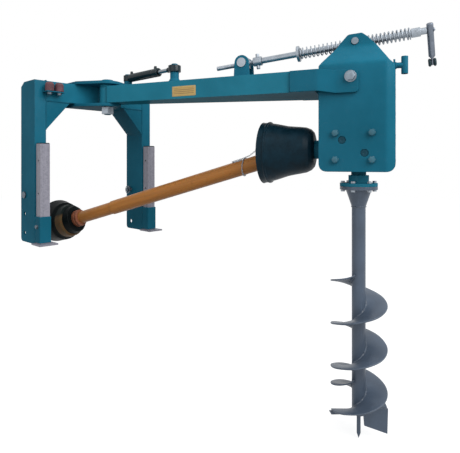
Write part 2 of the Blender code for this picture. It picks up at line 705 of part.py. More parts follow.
# Parking legs, each in a sleeve on its post's face
leg_x = FRONT + GAP + SLEEVE_WALL + LEG_SLIP + LEG_SIZE / 2
sleeve_half = LEG_SIZE / 2 + LEG_SLIP + SLEEVE_WALL
for label, side in (("left", -1), ("right", 1)):
    leg_y = side * (OUTER_Y - POST_WIDTH / 2)
    body = frame(label + "_leg_slide", (leg_x, leg_y, 0))

    def square(half):
        return [(-half, -half), (half, -half), (half, half), (-half, half)]

    def square_at(half):
        return [(leg_x + x, leg_y + y) for x, y in square(half)]

    sleeve = solid(label + "_leg_sleeve", plate(square_at(sleeve_half), SLEEVE_FOOT, SLEEVE_TOP,
                                                'XY', [square_at(LEG_SIZE / 2 + LEG_SLIP)]), PAINT)
    face = side * (sleeve_half - WELD)
    join(sleeve, hexagon(LOCK_HEAD_D, face, face + side * (WELD + LOCK_HEAD), 'Y',
                         (leg_x, leg_y, LEG_HOLE_LOW)))
    leg = solid(label + "_leg", plate(square(LEG_SIZE / 2), -POST_FOOT + FOOT_THICK / 2, LEG_TOP,
                                      'XY', [square(LEG_SIZE / 2 - LEG_WALL)]), GALVANISED, body)
    join(leg, block((-sleeve_half + 0.002, -FOOT_WIDE / 2, -POST_FOOT),
                    (FOOT_LONG - sleeve_half, FOOT_WIDE / 2, -POST_FOOT + FOOT_THICK)))
    cut(leg, merge(*[rod(LEG_HOLE_D / 2, -LEG_SIZE, LEG_SIZE, 'Y',
                         (0, 0, LEG_HOLE_LOW + LEG_HOLE_PITCH * k), 16) for k in range(3)]))

# Boom, a box section that widens towards the head
boom_start = SLEEVE_TUBE_D / 2 - 0.010


def boom_top(x):
    return BOOM_TOP - BOOM_TOP_FALL * (x - boom_start) / (BOOM_TIP - boom_start)


def boom_foot(x):
    return BOOM_FOOT - BOOM_FOOT_FALL * (x - boom_start) / (BOOM_TIP - boom_start)


stations = ((boom_start, BOOM_HALF_ROOT), (BOOM_TIP, BOOM_HALF_TIP))
walls = bmesh.new()
loops = []
for x, half in stations:
    for inset in (0.0, BOOM_WALL):
        end = x - inset if x == BOOM_TIP else x
        low, high = boom_foot(x) + inset, boom_top(x) - inset
        loops.append([walls.verts.new((end, side_y * (half - inset), z))
                      for side_y, z in ((-1, low), (1, low), (1, high), (-1, high))])
outer_0, inner_0, outer_1, inner_1 = loops
for first, second in ((outer_0, outer_1), (inner_0, inner_1), (outer_0, inner_0)):
    for k in range(4):
        walls.faces.new((first[k], first[(k + 1) % 4], second[(k + 1) % 4], second[k]))
walls.faces.new(outer_1)
walls.faces.new(inner_1)
boom_beam = solid("boom_beam", walls, PAINT, boom)
cut(boom_beam, rod(DRAIN_D / 2, BOOM_TIP - past, BOOM_TIP + past, 'X',
                   (0, 0, boom_foot(BOOM_TIP) + BOOM_WALL + DRAIN_D), 12))
tube_low, tube_high = PLATE_LOW_FACE + GAP, PLATE_TOP_UNDER - GAP
join(boom_beam, rod(SLEEVE_TUBE_D / 2, tube_low, tube_high, sides=20))
cut(boom_beam, rod(SLEW_PIN_D / 2 + RUN, tube_low - past, tube_high + past, sides=20))

# Fork cheeks on the boom's sides, bent inwards past the head's edge to lie against its plates
taper = (BOOM_HALF_TIP - BOOM_HALF_ROOT) / (BOOM_TIP - boom_start)
cheek_start = BOOM_TIP - CHEEK_OVERLAP
cheek_bend = TILT_REACH + HEAD_LEFT
cheek_flat = cheek_bend + CHEEK_BENT
bend_half = BOOM_HALF_TIP + taper * (cheek_bend - BOOM_TIP) + GAP
cheek_end = TILT_REACH + CHEEK_END
cheek_outline = rounded([
    (cheek_start, boom_foot(cheek_start), 0.0), (cheek_bend, boom_foot(cheek_bend), 0.0),
    (cheek_flat, BOOM_MID - CHEEK_DROP, 0.0), (cheek_end, BOOM_MID - CHEEK_DROP, CHEEK_CORNER),
    (cheek_end, BOOM_MID + CHEEK_RISE, CHEEK_CORNER), (cheek_flat, BOOM_MID + CHEEK_RISE, 0.0),
    (cheek_bend, boom_top(cheek_bend), 0.0), (cheek_start, boom_top(cheek_start), 0.0)])
for label, side in (("near", -1), ("far", 1)):
    def cheek_shift(x, z, side=side):
        if x < cheek_bend:
            return side * (bend_half - taper * (cheek_bend - x))
        share = min(1.0, (x - cheek_bend) / (cheek_flat - cheek_bend))
        return side * (bend_half + (CHEEK_IN - bend_half) * share)

    ends = sorted((0.0, side * CHEEK_THICK))
    cheek = plate(cheek_outline, ends[0], ends[1], 'XZ',
                  [circle((TILT_REACH, BOOM_MID), TILT_BOLT_D / 2 + GAP)])
    solid(label + "_fork_cheek", folded(cheek, (('X', cheek_bend), ('X', cheek_flat)),
                                        cheek_shift), PAINT, boom)

# Post for the slew cylinder's rod, with its pin in one piece
rod_low = CYL_AXIS - CYL_EYE_THICK / 2 - GAP
rod_high = CYL_AXIS + CYL_EYE_THICK / 2 + GAP
post_foot = boom_top(CYL_POST_REACH - CYL_POST_BASE_D / 2) + GAP
solid("cylinder_post", turned(
    [(0.0, post_foot), (CYL_POST_BASE_D / 2, post_foot),
     (CYL_POST_BASE_D / 2 - 0.002, post_foot + 0.014), (CYL_POST_D / 2, post_foot + 0.030),
     (CYL_POST_D / 2, rod_low), (CYL_PIN_D / 2, rod_low), (CYL_PIN_D / 2, rod_high),
     (CYL_POST_CAP_D / 2, rod_high), (CYL_POST_CAP_D / 2, rod_high + 0.010),
     (CYL_POST_CAP_D / 2 - 0.004, rod_high + 0.014), (0.0, rod_high + 0.014)],
    'Z', (CYL_POST_REACH, 0, 0), 16), PAINT, boom)
solid("cylinder_anchor_pin", turned(
    [(0.0, PLATE_TOP_UNDER + 0.001), (CYL_PIN_D / 2, PLATE_TOP_UNDER + 0.001),
     (CYL_PIN_D / 2, PLATE_TOP_FACE + GAP), (CYL_POST_D / 2, PLATE_TOP_FACE + GAP),
     (CYL_POST_D / 2, rod_low), (CYL_PIN_D / 2, rod_low), (CYL_PIN_D / 2, rod_high),
     (CYL_POST_CAP_D / 2, rod_high), (CYL_POST_CAP_D / 2, rod_high + 0.006),
     (0.0, rod_high + 0.006)], 'Z', (*anchor, 0), 16), PAINT)

# Slew cylinder: the barrel swings on the anchor pin and the rod slides in it
post_spot = Vector((PIVOT_X + CYL_POST_REACH * math.cos(SLEW_REST),
                    CYL_POST_REACH * math.sin(SLEW_REST)))
stroke_way = post_spot - Vector(anchor)
cyl_rest = stroke_way.length
barrel_frame = frame("cylinder_swing_axis", (*anchor, CYL_AXIS),
                     Matrix.Rotation(math.atan2(stroke_way.y, stroke_way.x), 4, 'Z'))
rod_frame = frame("cylinder_stroke_axis", (0, 0, 0), parent=barrel_frame)
bore_r = CYL_BORE / 2
gland = CYL_LENGTH - 0.022
neck_r = CYL_EYE_THICK / 2 - WELD
neck_end = CYL_POST_D / 2 + WELD
barrel = solid("cylinder_barrel", turned(
    [(0.0, CYL_EYE_R * 0.6), (neck_r, CYL_EYE_R * 0.6), (neck_r, neck_end),
     (CYL_D / 2, neck_end + 0.004), (CYL_D / 2, CYL_LENGTH),
     (CYL_ROD_D / 2 + RUN, CYL_LENGTH), (CYL_ROD_D / 2 + RUN, gland), (bore_r, gland),
     (bore_r, CYL_BORE_START), (0.0, CYL_BORE_START)], 'X', sides=16), CYLINDER_PAINT, barrel_frame)
join(barrel, rod(CYL_EYE_R, -CYL_EYE_THICK / 2, CYL_EYE_THICK / 2, sides=16))
join(barrel, rod(PORT_D / 2, 0.0, CYL_D / 2 + PORT_RISE, 'Z', (0.036, 0, 0), 16))
join(barrel, rod(PORT_D / 2, CYL_BORE / 2 + 0.002, CYL_D / 2 + PORT_RISE, 'Z',
                 (CYL_LENGTH - 0.030, 0, 0), 16))
cut(barrel, rod(CYL_PIN_D / 2 + RUN, -CYL_EYE_THICK, CYL_EYE_THICK, sides=16))
piston_at = CYL_LENGTH - CYL_ROD_IN
piston = CYL_PISTON_D / 2
cylinder_rod = solid("cylinder_rod", turned(
    [(0.0, piston_at - CYL_PISTON), (piston, piston_at - CYL_PISTON), (piston, piston_at),
     (CYL_ROD_D / 2, piston_at), (CYL_ROD_D / 2, cyl_rest - ROD_EYE_R * 0.6),
     (0.0, cyl_rest - ROD_EYE_R * 0.6)], 'X', sides=16), CYLINDER_PAINT, rod_frame)
join(cylinder_rod, rod(ROD_EYE_R, -CYL_EYE_THICK / 2, CYL_EYE_THICK / 2, 'Z',
                       (cyl_rest, 0, 0), 16))
cut(cylinder_rod, rod(CYL_PIN_D / 2 + ROD_EYE_PLAY, -CYL_EYE_THICK, CYL_EYE_THICK, 'Z',
                      (cyl_rest, 0, 0), 16))

# Bracket on the boom that holds the spindle's nut between two ears
ear_z = BOOM_MID + EAR_HEIGHT
ear_back, ear_front = EAR_REACH - EAR_R - 0.004, EAR_REACH + EAR_R + 0.004
ear_foot = boom_top(ear_back) + GAP
ear_outline = [(ear_back, ear_foot), (ear_front, boom_top(ear_front) + GAP)]
ear_outline += [(EAR_REACH + EAR_R * math.cos(math.radians(a)),
                 ear_z + EAR_R * math.sin(math.radians(a))) for a in range(0, 181, 15)]
ear_bracket = solid("spindle_bracket", plate(ear_outline, -EAR_OUT, EAR_OUT, 'XZ'), PAINT, boom)
cut(ear_bracket, block((EAR_REACH - EAR_R - past, -EAR_OUT + EAR_THICK, ear_foot + EAR_BASE),
                       (EAR_REACH + EAR_R + past, EAR_OUT - EAR_THICK, ear_z + EAR_R + past)))
cut(ear_bracket, rod(NUT_TRUNNION_D / 2 + RUN, -EAR_OUT - past, EAR_OUT + past, 'Y',
                     (EAR_REACH, 0, ear_z), 16))

# Tilt spindle, which runs from the boom's nut through the head's trunnion to the crank
trunnion_abs = Vector((TILT_REACH + TRUNNION_X, BOOM_MID + TRUNNION_Z))
ear_abs = Vector((EAR_REACH, ear_z))
climb = math.atan2(trunnion_abs.y - ear_abs.y, trunnion_abs.x - ear_abs.x)
ear_distance = (trunnion_abs - ear_abs).length
tip_up = Matrix.Rotation(-climb, 4, 'Y')
carrier = frame("spindle_swing_axis", (TRUNNION_X, 0, TRUNNION_Z), tip_up, head)
screw = frame("crank_axis", (0, 0, 0), parent=carrier)
nut_frame = frame("nut_swing_axis", (EAR_REACH, 0, ear_z), tip_up, boom)
nut_half = EAR_OUT - EAR_THICK - GAP
nut = solid("spindle_nut", rod(NUT_TRUNNION_D / 2, -EAR_OUT - 0.004, EAR_OUT + 0.004, 'Y',
                               sides=16), PLATED, nut_frame)
join(nut, block((-NUT_BLOCK / 2, -nut_half, -NUT_BLOCK / 2), (NUT_BLOCK / 2, nut_half, NUT_BLOCK / 2)))
cut(nut, rod(SPINDLE_D / 2 + EAR_NUT_PLAY, -NUT_BLOCK, NUT_BLOCK, 'X', sides=16))

# Trunnion block in the head's lugs, and the two springs against it
lug_in = LUG_HALF - HEAD_PLATE
block_half = lug_in - GAP
trunnion = solid("head_trunnion", turned(
    [(0.0, -LUG_HALF - 0.006), (TRUNNION_PIN_D / 2, -LUG_HALF - 0.006),
     (TRUNNION_PIN_D / 2, -block_half), (TRUNNION_D / 2, -block_half),
     (TRUNNION_D / 2, block_half), (TRUNNION_PIN_D / 2, block_half),
     (TRUNNION_PIN_D / 2, LUG_HALF + 0.006), (0.0, LUG_HALF + 0.006)], 'Y', sides=16),
    PLATED, carrier)
flat = TRUNNION_D / 2 - 0.003
cut(trunnion, merge(block((flat, -block_half, -TRUNNION_D), (TRUNNION_D, block_half, TRUNNION_D)),
                    block((-TRUNNION_D, -block_half, -TRUNNION_D), (-flat, block_half, TRUNNION_D))))
cut(trunnion, rod(SLEEVE_D / 2 + RUN, -TRUNNION_D, TRUNNION_D, 'X', sides=16))


def spring_route(start, end, curls):
    """Points of a helix along X, whose two ends run straight for one wire thickness."""
    radius = (SPRING_D - SPRING_WIRE) / 2
    steps = curls * SPRING_POINTS
    turn = 2 * math.pi * np.arange(steps + 1) / SPRING_POINTS
    along = np.linspace(start + SPRING_WIRE, end - SPRING_WIRE, steps + 1)
    helix = np.stack([along, radius * np.cos(turn), radius * np.sin(turn)], axis=1)
    first, last = helix[0].copy(), helix[-1].copy()
    first[0], last[0] = start, end
    return np.vstack([first, helix, last])


def least_gap(route, thickness):
    """The smallest space between two passes of a wound tube, measured on its points."""
    apart = np.linalg.norm(route[:, None] - route[None], axis=2)
    index = np.arange(len(route))
    neighbours = np.abs(index[:, None] - index[None]) < SPRING_POINTS / 2
    return float(np.where(neighbours, np.inf, apart).min() - thickness)


def spring(name, start, end, curls, parent):
    """One unbroken wound wire between two flat faces."""
    route = spring_route(start, end, curls)
    print(name, "least gap to itself, mm:", round(1000 * least_gap(route, SPRING_WIRE), 2))
    curve = bpy.data.curves.new(name, 'CURVE')
    curve.dimensions = '3D'
    curve.bevel_depth = SPRING_WIRE / 2
    curve.bevel_resolution = 1
    curve.use_fill_caps = True
    line = curve.splines.new('POLY')
    line.points.add(len(route) - 1)
    for point, place in zip(line.points, route):
        point.co = (*place, 1.0)
    curve.materials.append(PLATED)
    piece = bpy.data.objects.new(name, curve)
    bpy.context.collection.objects.link(piece)
    piece.parent = parent
    return piece


washer_face = WASHER_AT + WASHER_THICK
spring("front_spring", washer_face + GAP, -flat - GAP, SPRING_CURLS, carrier)
spring("rear_spring", flat + GAP, REAR_SPRING_END - GAP, SPRING_CURLS - 1, carrier)

# The spindle itself: thread, sleeves, pressing washer, collar and crank in one turning body
spindle_back = -ear_distance - SPINDLE_PAST_NUT
lock_start = -ear_distance + NUT_BLOCK / 2 + NUT_TO_LOCK
lock_end = lock_start + LOCK_LONG
spindle_r, sleeve_r = SPINDLE_D / 2, SLEEVE_D / 2
collar_end = REAR_SPRING_END + COLLAR_LONG
crank_face = CRANK_AT - CRANK_ARM_D / 2
solid("spindle_rod", turned(
    [(0.0, spindle_back), (spindle_r - 0.002, spindle_back), (spindle_r, spindle_back + 0.002),
     (spindle_r, lock_end), (sleeve_r, lock_end), (sleeve_r, WASHER_AT),
     (WASHER_D / 2, WASHER_AT), (WASHER_D / 2, washer_face), (sleeve_r, washer_face),
     (sleeve_r, REAR_SPRING_END), (COLLAR_D / 2, REAR_SPRING_END), (COLLAR_D / 2, collar_end),
     (sleeve_r, collar_end), (sleeve_r, crank_face - GAP), (KNOB_PIN_D / 2, crank_face - GAP),
     (KNOB_PIN_D / 2, CRANK_AT + CRANK_ARM_D / 2 + 0.006),
     (0.0, CRANK_AT + CRANK_ARM_D / 2 + 0.006)], 'X', sides=16), PLATED, screw)
lock = solid("spindle_lock_nut", ring(LOCK_D / 2, spindle_r + GAP, lock_start, lock_end - GAP,
                                      'X', sides=16), PLATED, screw)
lock_mid = lock_start + LOCK_LONG / 2
for way in (-1, 1):
    ends = sorted((way * (LOCK_D / 2 - 0.004), way * LOCK_BAR_LONG / 2))
    join(lock, rod(LOCK_BAR_D / 2, *ends, 'Z', (lock_mid, 0, 0), 16))
crank_seat = frame("crank_seat", (0, 0, 0), Matrix.Rotation(CRANK_REST, 4, 'X'), screw)
end_top = -CRANK_ARM + KNOB_D / 2 + GAP + WELD
arm = solid("crank_arm", rod(CRANK_ARM_D / 2, end_top - WELD, CRANK_TOP, 'Z', (CRANK_AT, 0, 0), 16),
            PLATED, crank_seat)
join(arm, moved(plate(circle((0, -CRANK_ARM), CRANK_END_WIDE / 2)[8:] + [
    (CRANK_END_WIDE / 2, -CRANK_ARM), (CRANK_END_WIDE / 2, end_top + WELD),
    (-CRANK_END_WIDE / 2, end_top + WELD)], -CRANK_END / 2, CRANK_END / 2, 'YZ'),
    Matrix.Translation((CRANK_AT, 0, 0))))
cut(arm, merge(rod(KNOB_PIN_D / 2 + GAP, crank_face - past, CRANK_AT + past, 'X', sides=16),
               rod(KNOB_PIN_D / 2 + RUN, CRANK_AT - past, CRANK_AT + past, 'X',
                   (0, 0, -CRANK_ARM), 16)))
knob = frame("knob_axis", (0, 0, -CRANK_ARM), parent=crank_seat)
knob_in = CRANK_END / 2 + GAP
knob_out = knob_in + KNOB_LONG
knob_r = KNOB_D / 2
knob_half = [(knob_r - 0.004, knob_in), (knob_r, knob_in + 0.004), (knob_r, knob_out - 0.004),
             (knob_r - 0.005, knob_out), (0.0, knob_out)]
solid("crank_knob", turned([(radius, CRANK_AT - along) for radius, along in knob_half[::-1]]
                           + [(KNOB_PIN_D / 2, CRANK_AT - knob_in), (KNOB_PIN_D / 2, CRANK_AT + knob_in)]
                           + [(radius, CRANK_AT + along) for radius, along in knob_half],
                           'X', sides=12), BLACK_PLASTIC, knob)

# Head side plates: flat below, joggled inwards above, with a folded outer edge
side_outline = rounded([
    (HEAD_LEFT, HEAD_BOTTOM, HEAD_CORNER), (HEAD_RIGHT, HEAD_BOTTOM, HEAD_CORNER),
    (HEAD_RIGHT, JOGGLE_START - 0.014, 0.010), (HEAD_RIGHT - 0.024, JOGGLE_START + 0.006, 0.010),
    (TRUNNION_X + 0.094, JOGGLE_END, 0.010), (TRUNNION_X + 0.052, JOGGLE_END + 0.044, 0.022),
    (TRUNNION_X + 0.030, TRUNNION_Z + 0.035, 0.014),
    (TRUNNION_X - 0.030, TRUNNION_Z + 0.031, 0.024),
    (TRUNNION_X - 0.062, JOGGLE_END + 0.022, 0.012), (TRUNNION_X - 0.078, JOGGLE_END, 0.010),
    (HEAD_LEFT, JOGGLE_START - 0.006, 0.010)], steps=2)
fold_x = HEAD_RIGHT - HEAD_EDGE_FOLD
bolt_spots = [(GEARBOX_MID_X + sx * BOX_BOLT_X, BOX_BOLT_MID_Z + sz * BOX_BOLT_Z)
              for sx in (-1, 1) for sz in (-1, 1)]
common_holes = [circle((0, 0), TILT_BOLT_D / 2 + RUN),
                circle((TRUNNION_X, TRUNNION_Z), TRUNNION_PIN_D / 2 + RUN)]
common_holes += [circle(spot, BOX_BOLT_D / 2 + GAP, 8) for spot in bolt_spots]
sight_holes = [circle(spot, SIGHT_HOLE_D / 2, 16) for spot in SIGHT_HOLES]


def side_inset(x, z):
    """How far the plate stands in from its flat part."""
    edge = max(0.0, x - fold_x)
    share = min(1.0, max(0.0, (z - JOGGLE_START) / (JOGGLE_END - JOGGLE_START)))
    return max(edge, share * (HEAD_HALF - LUG_HALF))


for label, side in (("near", -1), ("far", 1)):
    ends = sorted((side * HEAD_HALF, side * PLATE_IN))
    holes = common_holes + (sight_holes if side < 0 else [])
    sheet = plate(side_outline, ends[0], ends[1], 'XZ', holes)
    folds = (('X', fold_x), ('Z', JOGGLE_START), ('Z', JOGGLE_END))
    solid(label + "_head_plate", folded(sheet, folds, lambda x, z, s=side: -s * side_inset(x, z)),
          PAINT, head)

# Plate that closes the head's outer end
end_half = HEAD_HALF - HEAD_EDGE_FOLD - HEAD_PLATE - GAP
end_foot = HEAD_BOTTOM + HEAD_CORNER
solid("head_end_plate", block((HEAD_RIGHT - HEAD_PLATE, -end_half, end_foot),
                              (HEAD_RIGHT, end_half, END_PLATE_TOP)), PAINT, head)

# Tilt bolt through both cheeks and both plates
bolt_end = CHEEK_OUT + GAP
tilt = solid("tilt_bolt", rod(TILT_BOLT_D / 2, -bolt_end - 0.010, bolt_end + TILT_HEAD + 0.004, 'Y',
                              sides=16), PLATED, boom)
tilt.location = (TILT_REACH, 0, BOOM_MID)
join(tilt, rod(TILT_HEAD_D / 2, -bolt_end - TILT_HEAD, -bolt_end, 'Y', sides=16))
tilt.modifiers[-1].object.location = tilt.location
join(tilt, rod(TILT_HEAD_D / 2, bolt_end, bolt_end + TILT_HEAD, 'Y', sides=6))
tilt.modifiers[-1].object.location = tilt.location

# Gearbox housing, bolted between the side plates
box_half = PLATE_IN - GAP
box_left, box_right = GEARBOX_MID_X - GEARBOX_HALF_LONG, GEARBOX_MID_X + GEARBOX_HALF_LONG
box_shape = block((box_left, -box_half, GEARBOX_BOTTOM), (box_right, box_half, GEARBOX_TOP))
long_edges = [edge for edge in box_shape.edges
              if abs(edge.verts[0].co.y - edge.verts[1].co.y) > box_half]
bmesh.ops.bevel(box_shape, geom=long_edges, offset=GEARBOX_BEVEL, segments=2,
                affect='EDGES')
housing = solid("gearbox_housing", box_shape, CASTING, head)
join(housing, rod(INPUT_NECK_R, INPUT_NECK_END, box_left + 0.004, 'X', (0, 0, INPUT_Z), 20))
join(housing, rod(NECK_R, NECK_END, GEARBOX_BOTTOM + 0.004, 'Z', (OUTPUT_X, 0, 0), 20))
hollow = block((box_left + GEARBOX_WALL, -box_half + GEARBOX_WALL, GEARBOX_BOTTOM + GEARBOX_WALL),
               (box_right - GEARBOX_WALL, box_half - GEARBOX_WALL, GEARBOX_TOP - GEARBOX_WALL))
cut(housing, hollow)
bearing_r = BEARING_OUT_D / 2
cut(housing, merge(
    rod(bearing_r + GAP, box_left - 0.030, box_left + GEARBOX_WALL + 0.002, 'X', (0, 0, INPUT_Z), 20),
    rod(SHAFT_IN_D / 2 + RUN, INPUT_NECK_END - past, box_left - 0.034, 'X', (0, 0, INPUT_Z), 16)))
cut(housing, rod(SHAFT_IN_D / 2 + RUN, box_left - 0.036, box_left - 0.028, 'X', (0, 0, INPUT_Z), 16))
cut(housing, rod(SHAFT_OUT_D / 2 + RUN, NECK_END - past, GEARBOX_BOTTOM + 0.014, 'Z',
                 (OUTPUT_X, 0, 0), 16))
bolt_face = HEAD_HALF + GAP
for side in (-1, 1):
    for x, z in bolt_spots:
        shank = sorted((side * (box_half - WELD), side * (bolt_face + WELD)))
        join(housing, rod(BOX_BOLT_D / 2, *shank, 'Y', (x, 0, z), 8))
        ends = sorted((side * bolt_face, side * (bolt_face + BOX_BOLT_HEAD)))
        join(housing, hexagon(BOX_BOLT_HEAD_D, *ends, 'Y', (x, 0, z)))


def toothed(teeth, cone, axis_ring, face):
    """Straight bevel teeth on a blank. cone is the pitch cone's half angle, axis_ring the pitch
    radius at the outer end and face the length of a tooth along the cone."""
    shape = bmesh.new()
    slant = axis_ring / math.sin(cone)
    half_wide = math.pi * axis_ring / teeth * TOOTH_SHARE
    for k in range(teeth):
        turn = Matrix.Rotation(2 * math.pi * k / teeth, 4, 'Z')
        corners = []
        for distance in (slant, slant - face):
            scale = distance / slant
            for rise, share in ((-0.68, 1.30), (0.42, 0.64)):
                lift = rise * TOOTH_TALL * scale
                radius = distance * math.sin(cone) + lift * math.cos(cone)
                height = -distance * math.cos(cone) + lift * math.sin(cone)
                for way in (-1, 1):
                    wide = way * half_wide * share * scale
                    corners.append(shape.verts.new(turn @ Vector((radius, wide, height))))
        a, b, c, d, e, f, g, h = corners
        for face_corners in ((a, b, d, c), (e, f, h, g), (a, b, f, e), (c, d, h, g),
                             (a, c, g, e), (b, d, h, f)):
            shape.faces.new(face_corners)
    bmesh.ops.recalc_face_normals(shape, faces=shape.faces)
    return shape


# Crown gear and output shaft. Its pitch cone opens downwards from the gears' common point
crown_cone = math.atan2(CROWN_TEETH, PINION_TEETH)
pinion_cone = math.pi / 2 - crown_cone
crown_ring = MODULE * CROWN_TEETH / 2
pinion_ring = MODULE * PINION_TEETH / 2
root = TOOTH_TALL * 0.55
apex = INPUT_Z
rim_z = apex - pinion_ring - root * math.sin(crown_cone)
rim_r = crown_ring - root * math.cos(crown_cone)
share_in = 1 - FACE_WIDTH / math.hypot(crown_ring, pinion_ring)
inner_z = apex - pinion_ring * share_in - root * math.sin(crown_cone)
inner_r = crown_ring * share_in - root * math.cos(crown_cone)
shaft_r = SHAFT_OUT_D / 2
flange_low = FLANGE_FACE + GAP / 2
output = solid("output_shaft", turned(
    [(0.0, flange_low), (FLANGE_R, flange_low), (FLANGE_R, flange_low + FLANGE_THICK),
     (HUB_R, flange_low + FLANGE_THICK), (HUB_R, HUB_TOP - GAP), (shaft_r, HUB_TOP - GAP),
     (shaft_r, GEARBOX_BOTTOM + 0.042), (rim_r - 0.016, GEARBOX_BOTTOM + 0.042), (rim_r, rim_z - 0.006),
     (rim_r, rim_z), (inner_r, inner_z), (0.0, inner_z)], 'Z', sides=16), GEAR_STEEL, auger)
join(output, moved(toothed(CROWN_TEETH, crown_cone, crown_ring, FACE_WIDTH),
                   Matrix.Translation((0, 0, apex))))

# Pinion shaft, with its splined stub towards the drive shaft
pin_cone_root = root * math.sin(pinion_cone)
pin_rim_x = -crown_ring - pin_cone_root
pin_rim_r = pinion_ring - root * math.cos(pinion_cone)
pin_in_x = -crown_ring * share_in - pin_cone_root
pin_in_r = pinion_ring * share_in - root * math.cos(pinion_cone)
stub_end = INPUT_NECK_END - OUTPUT_X - 0.058
shaft_in = SHAFT_IN_D / 2
input_shaft = solid("input_shaft", turned(
    [(0.0, stub_end), (STUB_D / 2 - 0.002, stub_end), (STUB_D / 2, stub_end + 0.002),
     (STUB_D / 2, INPUT_NECK_END - OUTPUT_X), (shaft_in, INPUT_NECK_END - OUTPUT_X),
     (shaft_in, pin_rim_x), (pin_rim_r, pin_rim_x), (pin_in_r, pin_in_x), (0.0, pin_in_x)],
    'X', sides=16), GEAR_STEEL, pinion)
# The pinion stands a half tooth round, so that its teeth lie between the crown's
mesh_turn = Matrix.Rotation(math.pi / PINION_TEETH, 4, 'Z')
join(input_shaft, moved(toothed(PINION_TEETH, pinion_cone, pinion_ring, FACE_WIDTH),
                        Matrix.Rotation(math.pi / 2, 4, 'Y') @ mesh_turn))
input_bearing = solid("input_bearing", ring(
    bearing_r, SHAFT_IN_D / 2 + GAP, box_left - 0.026, box_left - 0.026 + BEARING_WIDE, 'X',
    (0, 0, INPUT_Z), 20), GEAR_STEEL, head)
output_bearing = solid("output_bearing", ring(
    bearing_r, SHAFT_OUT_D / 2 + GAP, GEARBOX_BOTTOM + GEARBOX_WALL + GAP,
    GEARBOX_BOTTOM + GEARBOX_WALL + GAP + BEARING_WIDE, 'Z', (OUTPUT_X, 0, 0), 20), GEAR_STEEL, head)

# Auger: flange with its bolts, tube, two flights, blades and pilot point
auger_top = FLANGE_FACE - GAP / 2
cone_top = auger_top - FLANGE_THICK
tube_bore = AUGER_TUBE_R - AUGER_TUBE_WALL
auger_tube = solid("auger_tube", turned(
    [(0.0, auger_top), (FLANGE_R, auger_top), (FLANGE_R, cone_top), (CONE_R, cone_top),
     (AUGER_TUBE_R, cone_top - CONE_LENGTH), (AUGER_TUBE_R, AUGER_TUBE_END),
     (0.0, AUGER_TUBE_END)], 'Z', sides=20),
    AUGER_PAINT, auger)
cut(auger_tube, rod(tube_bore, AUGER_TUBE_END + END_PLUG, cone_top, sides=20))
drain_arm = Matrix.Rotation(math.radians(80), 3, 'Z') @ Vector((tube_bore - DRAIN_D, 0, 0))
cut(auger_tube, rod(DRAIN_D / 2, AUGER_TUBE_END - past, AUGER_TUBE_END + END_PLUG + WELD, 'Z',
                    drain_arm, 12))
bolt_turns = [2 * math.pi * (k + 0.25) / FLANGE_BOLTS for k in range(FLANGE_BOLTS)]
for angle in bolt_turns:
    spot = (FLANGE_BOLT_CIRCLE * math.cos(angle), FLANGE_BOLT_CIRCLE * math.sin(angle), 0)
    join(auger_tube, hexagon(FLANGE_BOLT_HEAD_D, cone_top - FLANGE_BOLT_HEAD, cone_top + 0.002, 'Z',
                             spot))
    join(output, hexagon(FLANGE_BOLT_HEAD_D, flange_low + FLANGE_THICK - 0.002,
                         flange_low + FLANGE_THICK + FLANGE_BOLT_HEAD, 'Z', spot))


def flight(top, top_turn, turns):
    """A right-handed ribbon round the tube. It winds down from its top end, where it grows from
    the tube to the full radius."""
    shape = bmesh.new()
    steps = round(turns * 360 / FLIGHT_STEP)
    rows = []
    inner_r = (AUGER_TUBE_R + GAP) / math.cos(math.radians(FLIGHT_STEP / 2))
    for k in range(steps + 1):
        swept = turns * 360 * k / steps
        angle = math.radians(top_turn - swept)
        height = top - FLIGHT_PITCH * swept / 360
        grown = math.sin(math.pi / 2 * min(1.0, swept / FLIGHT_RUN_IN))
        outer_r = inner_r + 0.012 + (AUGER_R - inner_r - 0.012) * grown
        row = []
        for radius in (inner_r, outer_r):
            for lift in (-FLIGHT_THICK / 2, FLIGHT_THICK / 2):
                row.append(shape.verts.new((radius * math.cos(angle), radius * math.sin(angle),
                                            height + lift)))
        rows.append(row)
    for upper, lower in zip(rows, rows[1:]):
        for first, second in ((0, 1), (1, 3), (3, 2), (2, 0)):
            shape.faces.new((upper[first], upper[second], lower[second], lower[first]))
    for end in (rows[0], rows[-1]):
        shape.faces.new((end[0], end[1], end[3], end[2]))
    return shape


solid("main_flight", flight(FLIGHT_TOP, FLIGHT_TOP_TURN, FLIGHT_TURNS), AUGER_PAINT, auger)
solid("lower_flight", flight(LOWER_TOP, LOWER_TOP_TURN, LOWER_TURNS), AUGER_PAINT, auger)

# Cutting blades under the ends of the flights
lower_end = LOWER_TOP - FLIGHT_PITCH * LOWER_TURNS - FLIGHT_THICK / 2 - GAP
lower_end_turn = LOWER_TOP_TURN - 360 * LOWER_TURNS
blade_outline = [(AUGER_TUBE_R + 0.004, lower_end), (BLADE_OUT, lower_end),
                 (BLADE_OUT - 0.003, lower_end - BLADE_DROP), (0.024, lower_end - BLADE_DROP * 0.72),
                 (0.020, AUGER_TUBE_END - 0.004), (AUGER_TUBE_R + 0.004, AUGER_TUBE_END - 0.004)]
right_blade = plate(blade_outline, -BLADE_THICK / 2, BLADE_THICK / 2, 'XZ')
solid("digging_blade", moved(right_blade, Matrix.Rotation(math.radians(lower_end_turn + 2), 4, 'Z')),
      AUGER_PAINT, auger)
main_end_turn = FLIGHT_TOP_TURN - 360 * FLIGHT_TURNS
main_end = FLIGHT_TOP - FLIGHT_PITCH * FLIGHT_TURNS - FLIGHT_THICK / 2 - GAP
left_outline = [(AUGER_TUBE_R + 0.004, main_end), (BLADE_OUT + 0.006, main_end),
                (BLADE_OUT - 0.004, main_end - EDGE_DROP), (AUGER_TUBE_R + 0.004, main_end - EDGE_DROP)]
